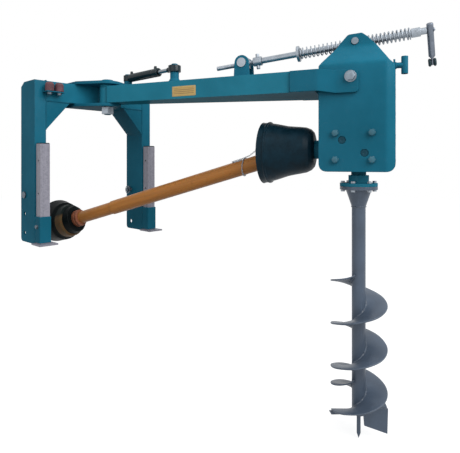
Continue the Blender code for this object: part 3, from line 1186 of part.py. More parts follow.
left_blade = plate(left_outline, -BLADE_THICK / 2, BLADE_THICK / 2, 'XZ')
solid("edge_blade", moved(left_blade, Matrix.Rotation(math.radians(main_end_turn + 2), 4, 'Z')),
      AUGER_PAINT, auger)
pilot_top = AUGER_TUBE_END + 0.004
join(auger_tube, plate(
    [(-PILOT_WIDE / 2, pilot_top), (-PILOT_WIDE / 2, PILOT_END + 0.024), (0, PILOT_END),
     (PILOT_WIDE / 2, PILOT_END + 0.024), (PILOT_WIDE / 2, pilot_top)],
    -PILOT_THICK / 2, PILOT_THICK / 2, 'XZ'))

# Tee handle on the head's outer end
tee_start = HEAD_RIGHT + GAP
tee_mid = tee_start + TEE_ROD_LONG + TEE_BAR_D / 2 - 0.003
tee = solid("tee_handle", rod(TEE_ROD_D / 2, tee_start, tee_mid, 'X', (0, TEE_SIDE, TEE_Z), 16),
            PAINT, head)
join(tee, rod(TEE_BAR_D / 2, -TEE_BAR_LONG / 2, TEE_BAR_LONG / 2, 'Z', (tee_mid, TEE_SIDE, TEE_Z), 16))
cut(tee, rod(TEE_BAR_BORE / 2, -TEE_BAR_LONG, TEE_BAR_LONG / 2 - 0.006, 'Z',
             (tee_mid, TEE_SIDE, TEE_Z), 16))

# Bell guard over the drive shaft's joint, fixed to the gearbox neck
bell_mouth = BELL_PROFILE[-1][0]
bell_face = INPUT_NECK_END - GAP
outside = [(radius, bell_face - length) for length, radius in BELL_PROFILE]
inside = [(radius - BELL_WALL, bell_face - max(length, BELL_WALL))
          for length, radius in BELL_PROFILE[1:-1]]
inside.append((BELL_PROFILE[-1][1] - BELL_WALL, bell_face - bell_mouth))
bell_hole = SHAFT_IN_D / 2 + 0.012
bell_profile = ([(bell_hole, bell_face)] + outside + inside[::-1]
                + [(bell_hole, bell_face - BELL_WALL)])
solid("bell_guard", turned(bell_profile, 'X', (0, 0, INPUT_Z), 24), BLACK_PLASTIC, head)

# Drive shaft: two frames in a chain, a pitch axis and a yaw axis at the first cross
cross_x = INPUT_NECK_END - JOINT_FROM_BOX
cross_boom = Vector((TILT_REACH + cross_x, 0, BOOM_MID + INPUT_Z))
cross_world = Matrix.Translation((PIVOT_X, 0, 0)) @ Matrix.Rotation(SLEW_REST, 4, 'Z') @ cross_boom
way = Matrix.Rotation(-SLEW_REST, 4, 'Z') @ (SHAFT_END - cross_world)
shaft_length = way.length
shaft_dip = math.atan2(-way.z, math.hypot(way.x, way.y))
shaft_yaw = math.atan2(way.y, way.x) - math.pi
cross_frame = frame("shaft_pitch_axis", (cross_x, 0, INPUT_Z),
                    Matrix.Rotation(-shaft_dip, 4, 'Y'), head)
shaft = frame("shaft_yaw_axis", (0, 0, 0), Matrix.Rotation(shaft_yaw, 4, 'Z')
              @ Matrix.Rotation(math.pi, 4, 'Z'), cross_frame)
slide = frame("shaft_slide_axis", (0, 0, 0), parent=shaft)


def yoke(name, parent, hub_way, ears_axis, bore, hub_long=YOKE_HUB, extra=None):
    """A fork of a universal joint. The hub lies along X on the side hub_way of the cross."""
    half = CROSS_HALF + GAP
    bar = [(hub_way * YOKE_REACH, -half - YOKE_EAR), (hub_way * YOKE_REACH, half + YOKE_EAR)]
    tip = -hub_way * YOKE_EAR_END
    root = hub_way * (YOKE_REACH - YOKE_EAR)
    fork = [(tip, -half - YOKE_EAR), (tip, -half), (root, -half), (root, half), (tip, half),
            (tip, half + YOKE_EAR)]
    plane = 'XY' if ears_axis == 'Y' else 'XZ'
    piece = solid(name, plate(fork + bar[::-1], -YOKE_EAR_HALF, YOKE_EAR_HALF, plane), GEAR_STEEL, parent)
    hub_ends = sorted((hub_way * (YOKE_REACH - 0.004), hub_way * (YOKE_REACH + hub_long)))
    join(piece, rod(YOKE_HUB_R, *hub_ends, 'X', sides=20))
    if extra is not None:
        join(piece, extra)
    if bore:
        cut(piece, rod(bore / 2, *sorted((hub_way * (YOKE_REACH - 0.030),
                                          hub_way * (YOKE_REACH + hub_long + past))), 'X', sides=20))
    cut(piece, rod(CROSS_D / 2 + RUN, -half - past, half + past, ears_axis, sides=20))
    return piece


def cross(name, parent):
    """The four-armed spider between two forks."""
    reach = CROSS_HALF + YOKE_EAR - 0.001
    piece = solid(name, rod(CROSS_D / 2, -reach, reach, 'Y', sides=20), GEAR_STEEL, parent)
    join(piece, rod(CROSS_D / 2, -reach, reach, 'Z', sides=20))
    return piece


fork_frame = frame("gearbox_yoke_seat", (cross_x, 0, INPUT_Z), parent=head)
yoke("gearbox_yoke", fork_frame, 1, 'Y', STUB_D + 2 * RUN, JOINT_FROM_BOX - YOKE_REACH - 0.004)
cross("gearbox_cross", cross_frame)
outer_tube = rod(OUTER_TUBE_D / 2, YOKE_REACH, OUTER_TUBE_END, 'X', sides=20)
outer = yoke("outer_shaft", shaft, 1, 'Z', 0, extra=outer_tube)
cut(outer, rod(OUTER_TUBE_BORE / 2, YOKE_REACH + 0.040, OUTER_TUBE_END + past, 'X', sides=20))
cone_end = shaft_length
inner_yoke_frame = frame("tractor_joint", (cone_end, 0, 0), parent=slide)
inner_tube = rod(INNER_TUBE_D / 2, INNER_TUBE_START - cone_end, -YOKE_REACH, 'X', sides=20)
inner_hub = CONE_BEFORE + GUARD_SEAT - YOKE_REACH
yoke("inner_shaft", inner_yoke_frame, -1, 'Z', 0, inner_hub, extra=inner_tube)

# At rest the tractor's fork points straight at the tractor, so its joint is bent both ways
bpy.context.view_layer.update()
ahead = slide.matrix_world.to_3x3().transposed() @ Vector((-1, 0, 0))
tractor_cross_frame = frame("tractor_cross_axis", (0, 0, 0),
                            Matrix.Rotation(math.atan2(ahead.y, ahead.x), 4, 'Z'),
                            inner_yoke_frame)
cross("tractor_cross", tractor_cross_frame)
tractor_yoke_frame = frame("tractor_yoke_axis", (0, 0, 0),
                           Matrix.Rotation(-math.asin(ahead.z), 4, 'Y'), tractor_cross_frame)
yoke("tractor_yoke", tractor_yoke_frame, 1, 'Y', STUB_D, 0.070)

# Guards over the drive shaft, each with a bearing ring on a fork's hub
seat_r = YOKE_HUB_R + GAP
guard_r = GUARD_D / 2
solid("outer_guard_tube", turned(
    [(seat_r, GUARD_START), (guard_r + 0.006, GUARD_START),
     (guard_r + 0.006, GUARD_START + 0.040), (guard_r, GUARD_START + 0.044),
     (guard_r, GUARD_END), (guard_r - GUARD_WALL, GUARD_END),
     (guard_r - GUARD_WALL, GUARD_START + GUARD_SEAT), (seat_r, GUARD_START + GUARD_SEAT)],
    'X', sides=20), YELLOW_PLASTIC, shaft)
inner_guard_r = INNER_GUARD_D / 2
collar_out = shaft_length - CONE_BEFORE - GAP
collar_in = collar_out - COLLAR_GUARD_LONG
solid("inner_guard_tube", turned(
    [(inner_guard_r - GUARD_WALL, INNER_GUARD_START), (inner_guard_r, INNER_GUARD_START),
     (inner_guard_r, collar_in), (COLLAR_GUARD_R, collar_in + 0.004),
     (COLLAR_GUARD_R, collar_out), (seat_r, collar_out), (seat_r, collar_out - GUARD_SEAT),
     (inner_guard_r - GUARD_WALL, collar_out - GUARD_SEAT)],
    'X', sides=20), YELLOW_PLASTIC, slide)


def bent_cone(stations, start, corner, end, sides=20):
    """A funnel whose rings follow a curve from start to end, bent round a corner. stations holds
    (share of the curve, radius) pairs that run out along one wall and back along the other."""
    shape = bmesh.new()
    rings = []
    for share, radius in stations:
        middle = (start * (1 - share) ** 2 + corner * 2 * share * (1 - share)
                  + end * share ** 2)
        heading = (corner - start) * (1 - share) + (end - corner) * share
        turn = Vector((1, 0, 0)).rotation_difference(heading)
        rings.append([shape.verts.new(middle + turn @ Vector(
            (0, radius * math.cos(2 * math.pi * k / sides),
             radius * math.sin(2 * math.pi * k / sides)))) for k in range(sides)])
    for k, low in enumerate(rings):
        high = rings[(k + 1) % len(rings)]
        for n in range(sides):
            following = (n + 1) % sides
            shape.faces.new((low[n], low[following], high[following], high[n]))
    return shape


cone_outside = list(TRACTOR_CONE)
cone_back = 2 * CONE_WALL / (CONE_BEFORE + CONE_BEYOND)
cone_inside = [(max(share, cone_back), radius - CONE_WALL) for share, radius in TRACTOR_CONE[1:]]
cone_inside.insert(0, (cone_back, TRACTOR_CONE[0][1] - CONE_WALL))
cone_hole = seat_r + 2 * RUN
cone_stations = [(0.0, cone_hole)] + cone_outside + cone_inside[::-1] + [(cone_back, cone_hole)]
solid("tractor_cone_guard", bent_cone(
    cone_stations, Vector((-CONE_BEFORE, 0, 0)), Vector((0, 0, 0)), ahead * CONE_BEYOND),
    BLACK_PLASTIC, inner_yoke_frame)
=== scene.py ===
"""The looks of a post-hole auger for a tractor's three-point linkage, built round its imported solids."""
import json
import math

import bmesh
import bpy
import numpy as np
from mathutils import Matrix, Vector, geometry


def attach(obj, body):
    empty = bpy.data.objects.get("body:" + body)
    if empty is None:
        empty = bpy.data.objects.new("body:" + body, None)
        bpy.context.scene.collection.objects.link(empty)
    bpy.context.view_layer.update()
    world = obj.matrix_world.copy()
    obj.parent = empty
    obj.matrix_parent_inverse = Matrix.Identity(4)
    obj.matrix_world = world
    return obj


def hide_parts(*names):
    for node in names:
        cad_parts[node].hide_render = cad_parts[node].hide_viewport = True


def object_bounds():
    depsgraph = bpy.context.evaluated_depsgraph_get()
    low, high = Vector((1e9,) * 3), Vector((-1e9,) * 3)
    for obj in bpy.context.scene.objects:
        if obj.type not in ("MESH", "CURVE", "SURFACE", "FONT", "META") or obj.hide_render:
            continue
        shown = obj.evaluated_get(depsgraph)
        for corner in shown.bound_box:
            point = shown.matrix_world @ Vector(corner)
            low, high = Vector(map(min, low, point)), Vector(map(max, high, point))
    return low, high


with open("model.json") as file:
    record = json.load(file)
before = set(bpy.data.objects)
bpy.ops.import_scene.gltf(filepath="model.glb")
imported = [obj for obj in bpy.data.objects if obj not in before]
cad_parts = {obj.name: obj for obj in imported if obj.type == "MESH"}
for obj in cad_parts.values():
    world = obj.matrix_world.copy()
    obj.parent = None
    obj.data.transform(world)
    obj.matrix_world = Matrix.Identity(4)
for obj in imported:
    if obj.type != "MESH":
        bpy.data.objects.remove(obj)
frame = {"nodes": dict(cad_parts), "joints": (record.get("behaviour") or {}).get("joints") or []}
solid_box = [list(corner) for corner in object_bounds()]
joints = {joint["name"]: joint for joint in frame["joints"]}
scene = bpy.context.scene

# Studio: a plain white floor just under the auger's point, a white surround and three soft lamps.
# The camera stands level and low beside the head, and looks back towards the portal.
FLOOR_DROP, FLOOR_HALF = 0.003, 14.0
FLOOR_BOUNCE, AMBIENT = 0.22, 0.58      # what the floor and the surround send to the object
FLOOR_GLOW, GLOW_SHARE = 1.32, 0.60     # the floor's own white in the camera's sight, and its share
IMAGE_WIDE, IMAGE_TALL, HORIZON_ROW = 460, 453, 161.2
CAMERA_PLACE, CAMERA_TURN, CAMERA_LENS = (2.458, -1.392, 0.178), math.radians(43.24), 36.0
LAMPS = (                               # name, place, aim, side, watts
    ("key_lamp", (4.3, 0.1, 2.5), (1.0, 0.2, 0.3), 3.4, 146.0),
    ("top_lamp", (1.1, 0.1, 3.5), (0.9, 0.2, 0.5), 2.6, 16.0),
    ("fill_lamp", (1.3, -3.6, 0.9), (0.8, 0.1, 0.2), 3.0, 22.0))


def add_node(tree, kind, inputs=None, **settings):
    """One shader node. inputs maps a socket's name or number to a value or to another socket."""
    made = tree.nodes.new("ShaderNode" + kind)
    for name, value in settings.items():
        setattr(made, name, value)
    for name, value in (inputs or {}).items():
        if isinstance(value, bpy.types.NodeSocket):
            tree.links.new(value, made.inputs[name])
        else:
            made.inputs[name].default_value = value
    return made


def sent_and_shown(tree, sent, shown, output):
    """One shader for the light that the surround sends to the object, and another for what the
    camera sees of it, straight or in or through a surface."""
    rays = add_node(tree, "LightPath").outputs
    share = rays["Is Camera Ray"]
    for kind in ("Is Glossy Ray", "Is Transmission Ray"):
        share = add_node(tree, "Math", {0: share, 1: rays[kind]}, operation='MAXIMUM').outputs[0]
    both = add_node(tree, "MixShader", {0: share, 1: sent.outputs[0], 2: shown.outputs[0]})
    add_node(tree, output, {"Surface": both.outputs[0]})


def add_object(name, data):
    made = bpy.data.objects.new(name, data)
    scene.collection.objects.link(made)
    return made


scene.view_settings.view_transform = 'Standard'
scene.world = bpy.data.worlds.new("studio")
scene.world.use_nodes = True
sky = scene.world.node_tree
sky.nodes.clear()
sent_and_shown(sky, add_node(sky, "Background", {"Color": (0.97, 0.985, 1.0, 1), "Strength": AMBIENT}),
               add_node(sky, "Background", {"Color": (1, 1, 1, 1), "Strength": 1.0}), "OutputWorld")

white_floor = bpy.data.materials.new("white_floor")
white_floor.use_nodes = True
tree = white_floor.node_tree
tree.nodes.clear()
pale = add_node(tree, "BsdfDiffuse", {"Color": (0.92, 0.92, 0.92, 1)})
glow = add_node(tree, "Emission", {"Color": (1, 1, 1, 1), "Strength": FLOOR_GLOW})
sent_and_shown(tree, add_node(tree, "BsdfDiffuse", {"Color": (*[FLOOR_BOUNCE] * 3, 1)}),
               add_node(tree, "MixShader", {0: GLOW_SHARE, 1: pale.outputs[0], 2: glow.outputs[0]}),
               "OutputMaterial")
floor_mesh = bpy.data.meshes.new("floor")
floor_mesh.from_pydata([(x * FLOOR_HALF, y * FLOOR_HALF, solid_box[0][2] - FLOOR_DROP)
                        for x, y in ((-1, -1), (1, -1), (1, 1), (-1, 1))], [], [(0, 1, 2, 3)])
floor_mesh.materials.append(white_floor)
add_object("floor", floor_mesh)

camera = add_object("camera", bpy.data.cameras.new("camera"))
camera.location = CAMERA_PLACE
camera.rotation_euler = (math.pi / 2, 0, CAMERA_TURN)
camera.data.lens = CAMERA_LENS
camera.data.sensor_width = 36.0
camera.data.sensor_fit = 'HORIZONTAL'
camera.data.shift_y = (HORIZON_ROW - IMAGE_TALL / 2) / IMAGE_WIDE
camera.data.clip_start = 0.05
scene.camera = camera
for lamp_name, lamp_place, lamp_aim, lamp_side, lamp_watts in LAMPS:
    lamp = add_object(lamp_name, bpy.data.lights.new(lamp_name, 'AREA'))
    lamp.data.shape = 'SQUARE'
    lamp.data.size = lamp_side
    lamp.data.energy = lamp_watts
    lamp.location = lamp_place
    lamp.rotation_euler = (Vector(lamp_aim) - Vector(lamp_place)).to_track_quat('-Z', 'Y').to_euler()

# Posts: two channels folded from 8 mm plate and sprayed petrol blue, each with its corner gusset
# welded on. The lower links' balls sit between the cheeks, on pins through one of three holes.
PETROL = (0.0105, 0.132, 0.205)
POST_FOLD = 0.0045
PORTAL = ("portal", Matrix.Identity(4))     # a seat: the body that carries a piece, the piece's frame


class Finish:
    """One material's nodes, and the record's slot that it answers to. Its patterns read each point's
    place in its piece's own frame, in metres, so that they follow the piece."""

    def __init__(self, name, slot, colour, roughness, metallic=0.0, own_frame=True, **sockets):
        self.slot, self.colour = slot, colour
        self.material = bpy.data.materials.new(name)
        self.material.use_nodes = True
        self.tree = self.material.node_tree
        self.inputs = self.tree.nodes["Principled BSDF"].inputs
        sockets.update(Base_Color=(*colour, 1), Roughness=roughness, Metallic=metallic)
        for socket, value in sockets.items():
            self.inputs[socket.replace("_", " ")].default_value = value
        self.place = (self.node("Attribute", output="Vector", attribute_name="own_place") if own_frame
                      else self.node("TexCoord", output="Object"))

    def node(self, kind, inputs=None, output=0, **settings):
        return add_node(self.tree, kind, inputs, **settings).outputs[output]

    def feed(self, socket, value):
        self.tree.links.new(value, self.inputs[socket])

    def noise(self, scale, detail=3.0, rough=0.55, stretch=None):
        """Noise of about so many features a metre, drawn out along the piece's own axes where asked."""
        place = self.place
        if stretch is not None:
            place = self.node("Mapping", {"Vector": place, "Scale": stretch})
        return self.node("TexNoise", {"Vector": place, "Scale": scale, "Detail": detail, "Roughness": rough})

    def ranged(self, value, low, high, to_low=0.0, to_high=1.0):
        """The value, drawn out so that low and high become to_low and to_high, and kept between."""
        return self.node("MapRange", {"Value": value, "From Min": low, "From Max": high,
                                      "To Min": to_low, "To Max": to_high})

    def maths(self, operation, first, second=0.0):
        return self.node("Math", {0: first, 1: second}, operation=operation)

    def shade(self, factor, lift=0.0):
        """The finish's own colour, darkened or brightened, and lifted."""
        return [part * factor + lift for part in self.colour]

    def blend(self, share, *colours):
        """A blend of two colours, each a triple or a socket, by a share."""
        first, second = [value if isinstance(value, bpy.types.NodeSocket) else (*value, 1)
                         for value in colours]
        return self.node("Mix", {0: share, 6: first, 7: second}, 2, data_type='RGBA')

    def bump(self, height, distance, strength=0.5):
        self.feed("Normal", self.node("Bump", {"Height": height, "Distance": distance,
                                               "Strength": strength}))

    def edges(self, radius):
        """0 on open faces, rising to 1 where the surface turns sharply within the radius."""
        eased_way = self.node("Bevel", {"Radius": radius}, samples=4)
        flat_way = self.node("NewGeometry", output="Normal")
        turn = self.node("VectorMath", {0: eased_way, 1: flat_way}, "Value", operation='DOT_PRODUCT')
        return self.ranged(turn, 0.995, 0.86)


def enamel(name, colour, slot="petrol_blue_paint", roughness=0.42, worn=(0.10, 0.13, 0.14), wear=0.45,
           gloss=0.08):
    """Sprayed enamel: a faint orange peel, slight drift of the colour, dust, thin rubbed edges."""
    coat = Finish(name, slot, colour, roughness, Specular_IOR_Level=0.0, Coat_Weight=gloss,
                  Coat_Roughness=roughness / 2)
    tone = coat.blend(coat.ranged(coat.noise(4.0, 4.0), 0.3, 0.7), coat.shade(0.86), coat.shade(1.14, 0.002))
    dust = coat.ranged(coat.noise(38.0, 5.0, 0.7), 0.55, 0.75, 0.0, 0.14)
    tone = coat.blend(dust, tone, coat.shade(0.8, 0.06))
    chips = coat.ranged(coat.noise(150.0, 4.0, 0.7), 0.52, 0.60, 0.0, wear)
    coat.feed("Base Color", coat.blend(coat.maths('MULTIPLY', coat.edges(0.0022), chips), tone, worn))
    coat.feed("Roughness", coat.ranged(coat.noise(14.0, 4.0), 0.3, 0.7, roughness - 0.06, roughness + 0.12))
    coat.bump(coat.noise(420.0, 1.0), 0.00012)
    return coat


def settle(piece, finish, seating, nodes):
    """Give a new piece its finish, smooth shading, the body it rides on and the nodes it stands for,
    and write each point's place in the piece's own frame as an attribute, for the finishes."""
    body, own_frame = seating
    mesh = piece.data
    mesh.materials.clear()
    mesh.materials.append(finish.material)
    mesh.shade_smooth()
    mesh.set_sharp_from_angle(angle=math.radians(38.0))
    spots = np.empty(len(mesh.vertices) * 3, np.float32)
    mesh.vertices.foreach_get("co", spots)
    back = np.array(own_frame.inverted(), float)
    own = spots.reshape(-1, 3) @ back[:3, :3].T + back[:3, 3]
    attribute = mesh.attributes.new("own_place", 'FLOAT_VECTOR', 'POINT')
    attribute.data.foreach_set("vector", own.astype(np.float32).ravel())
    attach(piece, body)
    for node in nodes:
        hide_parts(node)


def eased(name, node, finish, seating, width=0.002):
    """A flat-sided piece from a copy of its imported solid: loose triangles joined into flat faces,
    then each sharp edge rounded by the given width."""
    mesh = frame["nodes"][node].data.copy()
    shape = bmesh.new()
    shape.from_mesh(mesh)
    bmesh.ops.remove_doubles(shape, verts=shape.verts, dist=1e-5)
    bmesh.ops.dissolve_limit(shape, angle_limit=math.radians(0.6), verts=shape.verts, edges=shape.edges)
    shape.to_mesh(mesh)
    shape.free()
    piece = add_object(name, mesh)
    settle(piece, finish, seating, [node])
    rounding = piece.modifiers.new("rounded_edges", 'BEVEL')
    rounding.width = width
    rounding.segments = 3
    rounding.limit_method = 'ANGLE'
    rounding.angle_limit = math.radians(40.0)
    rounding.harden_normals = True
    rounding.miter_outer = 'MITER_ARC'


petrol = enamel("petrol_enamel", PETROL)
for label in ("left", "right"):
    eased(label + "_post_channel", label + "_post", petrol, PORTAL, POST_FOLD)

# Crossbeam: a box beam folded from 8 mm plate and welded between the two posts. Its front edges
# carry the pivot plates.
# The crossbeam's paint is the petrol blue made lighter. This is painted light, which offsets the shade that
# the pivot plates and boom cast on it.
beam_blue_painted_light = enamel("crossbeam_enamel_painted_light", (0.0125, 0.160, 0.245))
eased("crossbeam_box", "crossbeam", beam_blue_painted_light, PORTAL, 0.006)

# Weld seams of the portal: fillets left as laid, where the posts, gussets and crossbeam meet.
# A seam's ripples are 3 mm apart.
SEAM_R, SEAM_RIPPLE = 0.0036, 0.0032
BEAM_LOW, BEAM_HIGH, GUSSET = 0.493, 0.598, 0.150
POST_IN, POST_REAR, POST_FRONT = 0.303, -0.036, 0.119


def grid_faces(rows, columns, wrap_rows=False, wrap_columns=True):
    """Quads over a grid of rows x columns points, closed round either way where asked."""
    r = np.arange(rows if wrap_rows else rows - 1)[:, None]
    c = np.arange(columns if wrap_columns else columns - 1)[None, :]
    r2, c2 = (r + 1) % rows, (c + 1) % columns
    return np.stack([r * columns + c, r * columns + c2, r2 * columns + c2, r2 * columns + c],
                    axis=-1).reshape(-1, 4)


def turn_of(steps):
    """Equal angles round one full turn."""
    return np.linspace(0, 2 * np.pi, steps, endpoint=False)


def wire(path, radius, steps=10, hint=(0, 0, 1), looped=False):
    """A round wire along a path: centre + r (n cos a + b sin a), where n and b stand square to the
    path's heading t, with b = t x hint. Open ends close on the path itself."""
    path = np.asarray(path, float)
    if looped:
        heading = np.roll(path, -1, axis=0) - np.roll(path, 1, axis=0)
    else:
        heading = np.gradient(path, axis=0)
    heading /= np.linalg.norm(heading, axis=1)[:, None]
    side_way = np.cross(heading, np.broadcast_to(np.asarray(hint, float), heading.shape))
    side_way /= np.linalg.norm(side_way, axis=1)[:, None]
    up_way = np.cross(side_way, heading)
    angle = turn_of(steps)[None, :, None]
    thick = np.broadcast_to(np.asarray(radius, float), len(path))[:, None, None]
    rings = path[:, None] + thick * (np.cos(angle) * up_way[:, None] + np.sin(angle) * side_way[:, None])
    if not looped:
        ends = [np.repeat(path[k][None, None], steps, axis=1) for k in (0, -1)]
        rings = np.concatenate([ends[0], rings, ends[1]])
    return rings.reshape(-1, 3), grid_faces(len(rings), steps, looped)


def seam(start, end, hint=(0.3, 0.5, 0.8)):
    """A weld fillet between two points: a wire whose radius goes as 1 + 0.11 sin(2 pi s / ripple),
    and whose middle wanders by a fifth of a millimetre."""
    start, end = np.asarray(start, float), np.asarray(end, float)
    length = np.linalg.norm(end - start)
    s = np.arange(0, length, SEAM_RIPPLE / 4)
    path = start + (end - start) * (s / length)[:, None]
    path = path + 0.0002 * np.sin(s * 173.0)[:, None] * np.asarray(hint)
    ripple = SEAM_R * (1 + 0.11 * np.sin(2 * np.pi * s / SEAM_RIPPLE) + 0.08 * np.sin(s * 61.0 + 1.3))
    return wire(path, ripple, 8, hint)


def assembled(name, surfaces, finish, seating, *nodes):
    """Put surfaces, given in a piece's own frame, into one mesh and place it by that frame."""
    spots, faces, count = [], [], 0
    for points, corners in surfaces:
        spots.append(points)
        faces += (np.asarray(corners) + count).tolist()
        count += len(points)
    placing = np.array(seating[1], float)
    mesh = bpy.data.meshes.new(name)
    mesh.from_pydata(np.vstack(spots) @ placing[:3, :3].T + placing[:3, 3], [], faces)
    shape = bmesh.new()
    shape.from_mesh(mesh)
    bmesh.ops.remove_doubles(shape, verts=shape.verts, dist=2e-6)
    bmesh.ops.recalc_face_normals(shape, faces=shape.faces)
    shape.to_mesh(mesh)
    shape.free()
    settle(add_object(name, mesh), finish, seating, nodes)


portal_seams = []
for side in (-1, 1):
    inner, tip, front = side * POST_IN, side * (POST_IN - 0.133), POST_FRONT - 0.001
    for x in (front, POST_REAR):
        for low, high in ((BEAM_LOW - GUSSET, BEAM_LOW), (BEAM_LOW, BEAM_HIGH)):
            portal_seams.append(seam((x, inner, low), (x, inner, high), (1, 0.3, 0)))
    portal_seams.append(seam((POST_REAR, inner, BEAM_HIGH), (POST_FRONT, inner, BEAM_HIGH)))
    portal_seams.append(seam((front, inner, BEAM_LOW), (front, tip, BEAM_LOW), (1, 0, 0.3)))
assembled("portal_weld_seams", portal_seams, petrol, PORTAL)

# Clevis for the tractor's top link, on the crossbeam's rear face, and its plated pin with a
# spring cotter through the end.
LINK_PIN_R, LINK_HALF, LINK_AT = 0.0095, 0.038, (-0.0933, 0.0, 0.546)
FIT = 0.0003                            # between pieces that lie against each other
eased("top_link_clevis", "top_link_bracket", petrol, PORTAL, 0.0022)


def rod(start, *steps, way=1):
    """A stepped rod's profile, as (along, radius) points. Each step is its end and its radius, or its
    end and two radii where it tapers. way is -1 for a rod that points backwards."""
    points = [(way * start, 0)]
    at = start
    for end, *radii in steps:
        for spot in ((way * at, radii[0]), (way * end, radii[-1])):
            if spot != points[-1]:
                points.append(spot)
        at = end
    return points if radii[-1] == 0 else points + [(way * at, 0)]


def softened(points, radius, steps=4, closed=False):
    """Round a polyline's corners: each corner P gives way to (1-t)^2 A + 2t(1-t) P + t^2 B, where A
    and B lie on its sides at the reach radius / tan(half the corner's angle)."""
    points = np.asarray(points, float)
    before = np.roll(points, 1, axis=0) - points
    after = np.roll(points, -1, axis=0) - points
    lengths = [np.maximum(np.linalg.norm(way, axis=1), 1e-9) for way in (before, after)]
    cosine = np.clip((before * after).sum(1) / (lengths[0] * lengths[1]), -0.9999, 0.98)
    reach = np.asarray(radius) * np.sqrt((1 + cosine) / (1 - cosine))
    reach = np.minimum(reach, 0.46 * np.minimum(*lengths))
    start = points + before * (reach / lengths[0])[:, None]
    end = points + after * (reach / lengths[1])[:, None]
    t = np.linspace(0, 1, steps + 1)[None, :, None]
    curve = (1 - t) ** 2 * start[:, None] + 2 * t * (1 - t) * points[:, None] + t ** 2 * end[:, None]
    if closed:
        return curve.reshape(-1, 2)
    return np.vstack([points[:1], curve[1:-1].reshape(-1, 2), points[-1:]])


def spun(along, radius, axis, centre=(0, 0, 0), closed=False):
    """A surface round an axis of the piece's frame: at angle a each row stands at its place along
    the axis, and at (r cos a, r sin a) square to it."""
    angle = turn_of(radius.shape[1])
    along = np.broadcast_to(along, radius.shape)
    across, up = radius * np.cos(angle), radius * np.sin(angle)
    order = {'X': (along, across, up), 'Y': (up, along, across), 'Z': (across, up, along)}[axis]
    return np.stack(order, axis=-1).reshape(-1, 3) + np.array(centre), grid_faces(*radius.shape, closed)


def turned(profile, axis, ease=0.0, centre=(0, 0, 0), steps=64, closed=False, rounding=4):
    """A surface of revolution: a profile of (along, radius) points, its corners eased, carried round
    an axis."""
    if np.any(ease):
        profile = softened(profile, ease, rounding, closed)
    profile = np.asarray(profile, float)
    return spun(profile[:, :1], np.repeat(profile[:, 1:], steps, axis=1), axis, centre, closed)


def hoop(radius, wire_r, axis, centre=(0, 0, 0), steps=48):
    """A ring of round wire: a small circle carried round an axis."""
    turn = turn_of(12)
    return turned(np.stack([wire_r * np.sin(turn), radius + wire_r * np.cos(turn)], axis=1), axis,
                  centre=centre, steps=steps, closed=True)


def plated(name, colour, roughness=0.42, spread=0.12, grain=(0.12, 1, 1), slot="plated_steel"):
    """Plated steel: fine turning marks, and a bloom of duller and darker patches."""
    metal = Finish(name, slot, colour, roughness, 1.0)
    bloom = metal.noise(45.0, 5.0, 0.65)
    metal.feed("Base Color",
               metal.blend(metal.ranged(bloom, 0.35, 0.7), metal.shade(0.82), metal.shade(1.15)))
    metal.feed("Roughness", metal.ranged(bloom, 0.3, 0.7, roughness - spread / 2, roughness + spread))
    metal.bump(metal.noise(260.0, 2.0, 0.5, grain), 0.00008, 0.6)
    return metal


zinc = plated("zinc_plated", (0.31, 0.345, 0.385))
dull_zinc = plated("dull_zinc", (0.13, 0.16, 0.19), 0.45)
cotter = -LINK_HALF - 0.012
assembled("top_link_pin_turned", [
    turned(rod(-LINK_HALF - 0.022, (-LINK_HALF - 0.020, LINK_PIN_R - 0.002, LINK_PIN_R),
               (LINK_HALF + FIT, LINK_PIN_R), (LINK_HALF + 0.008, LINK_PIN_R * 1.6)), 'Y', 0.0012, LINK_AT),
    wire([(LINK_AT[0], cotter, LINK_AT[2] + z) for z in np.linspace(-0.018, 0.014, 9)], 0.0016, 8, (1, 0, 0)),
    hoop(0.0075, 0.0016, 'Y', (LINK_AT[0], cotter, LINK_AT[2] + 0.0215), 32)], zinc, PORTAL, "top_link_pin")

# Hitch pins: turned and plated, one in each post's top hole, kept by a linch pin with a wire ring
# that snaps over the pin's end.
HITCH_R, HITCH_HEAD_R, HITCH_HEAD = 0.011, 0.018, 0.008
POST_OUT, HITCH_END, LINCH_AT = 0.363, 0.269, 0.286
for side, label in ((-1, "left"), (1, "right")):
    assembled(label + "_hitch_pin_turned", [
        turned(rod(HITCH_END, (HITCH_END + 0.002, HITCH_R - 0.002, HITCH_R), (POST_OUT + FIT, HITCH_R),
                   (POST_OUT + HITCH_HEAD, HITCH_HEAD_R), way=side), 'Y', 0.0014),
        turned(rod(-0.025, (-0.023, 0.003, 0.0045), (0.010, 0.0045), (0.022, 0.0081)), 'Z', 0.0012,
               (0, side * LINCH_AT, 0), 32),
        hoop(0.023, 0.0020, 'Y', (0, side * (LINCH_AT - 0.006), -0.001))],
        dull_zinc, PORTAL, label + "_hitch_pin")

# Slew pivot: two flame-cut 16 mm plates, welded over and under the crossbeam. The upper one
# reaches out to the side as well, for the cylinder's anchor.
PIVOT_AT, PIVOT_R, PIVOT_HALF = (0.218, 0.0), 0.073, 0.140
ANCHOR_AT, ANCHOR_R, ANCHOR_SIDE = (0.182, 0.159), 0.034, 0.189
PIVOT_REAR, PIVOT_FRONT, PIVOT_BORE, ANCHOR_BORE = 0.009, 0.129, 0.0183, 0.0103
PIVOT_THICK, PLATE_EDGE, TOP_PLATE, LOW_PLATE = 0.016, 0.0014, 0.5983, 0.4767


def round_of(centre, radius, steps=48):
    """Points of a circle, in plan, counter-clockwise."""
    angle = turn_of(steps)
    return np.stack([centre[0] + radius * np.cos(angle), centre[1] + radius * np.sin(angle)], axis=1)


def wrapped(points):
    """The convex outline round a set of points, counter-clockwise."""
    outline = points[geometry.convex_hull_2d([tuple(spot) for spot in points])]
    area = (outline[:, 0] * np.roll(outline[:, 1], -1) - outline[:, 1] * np.roll(outline[:, 0], -1)).sum()
    return outline if area > 0 else outline[::-1]


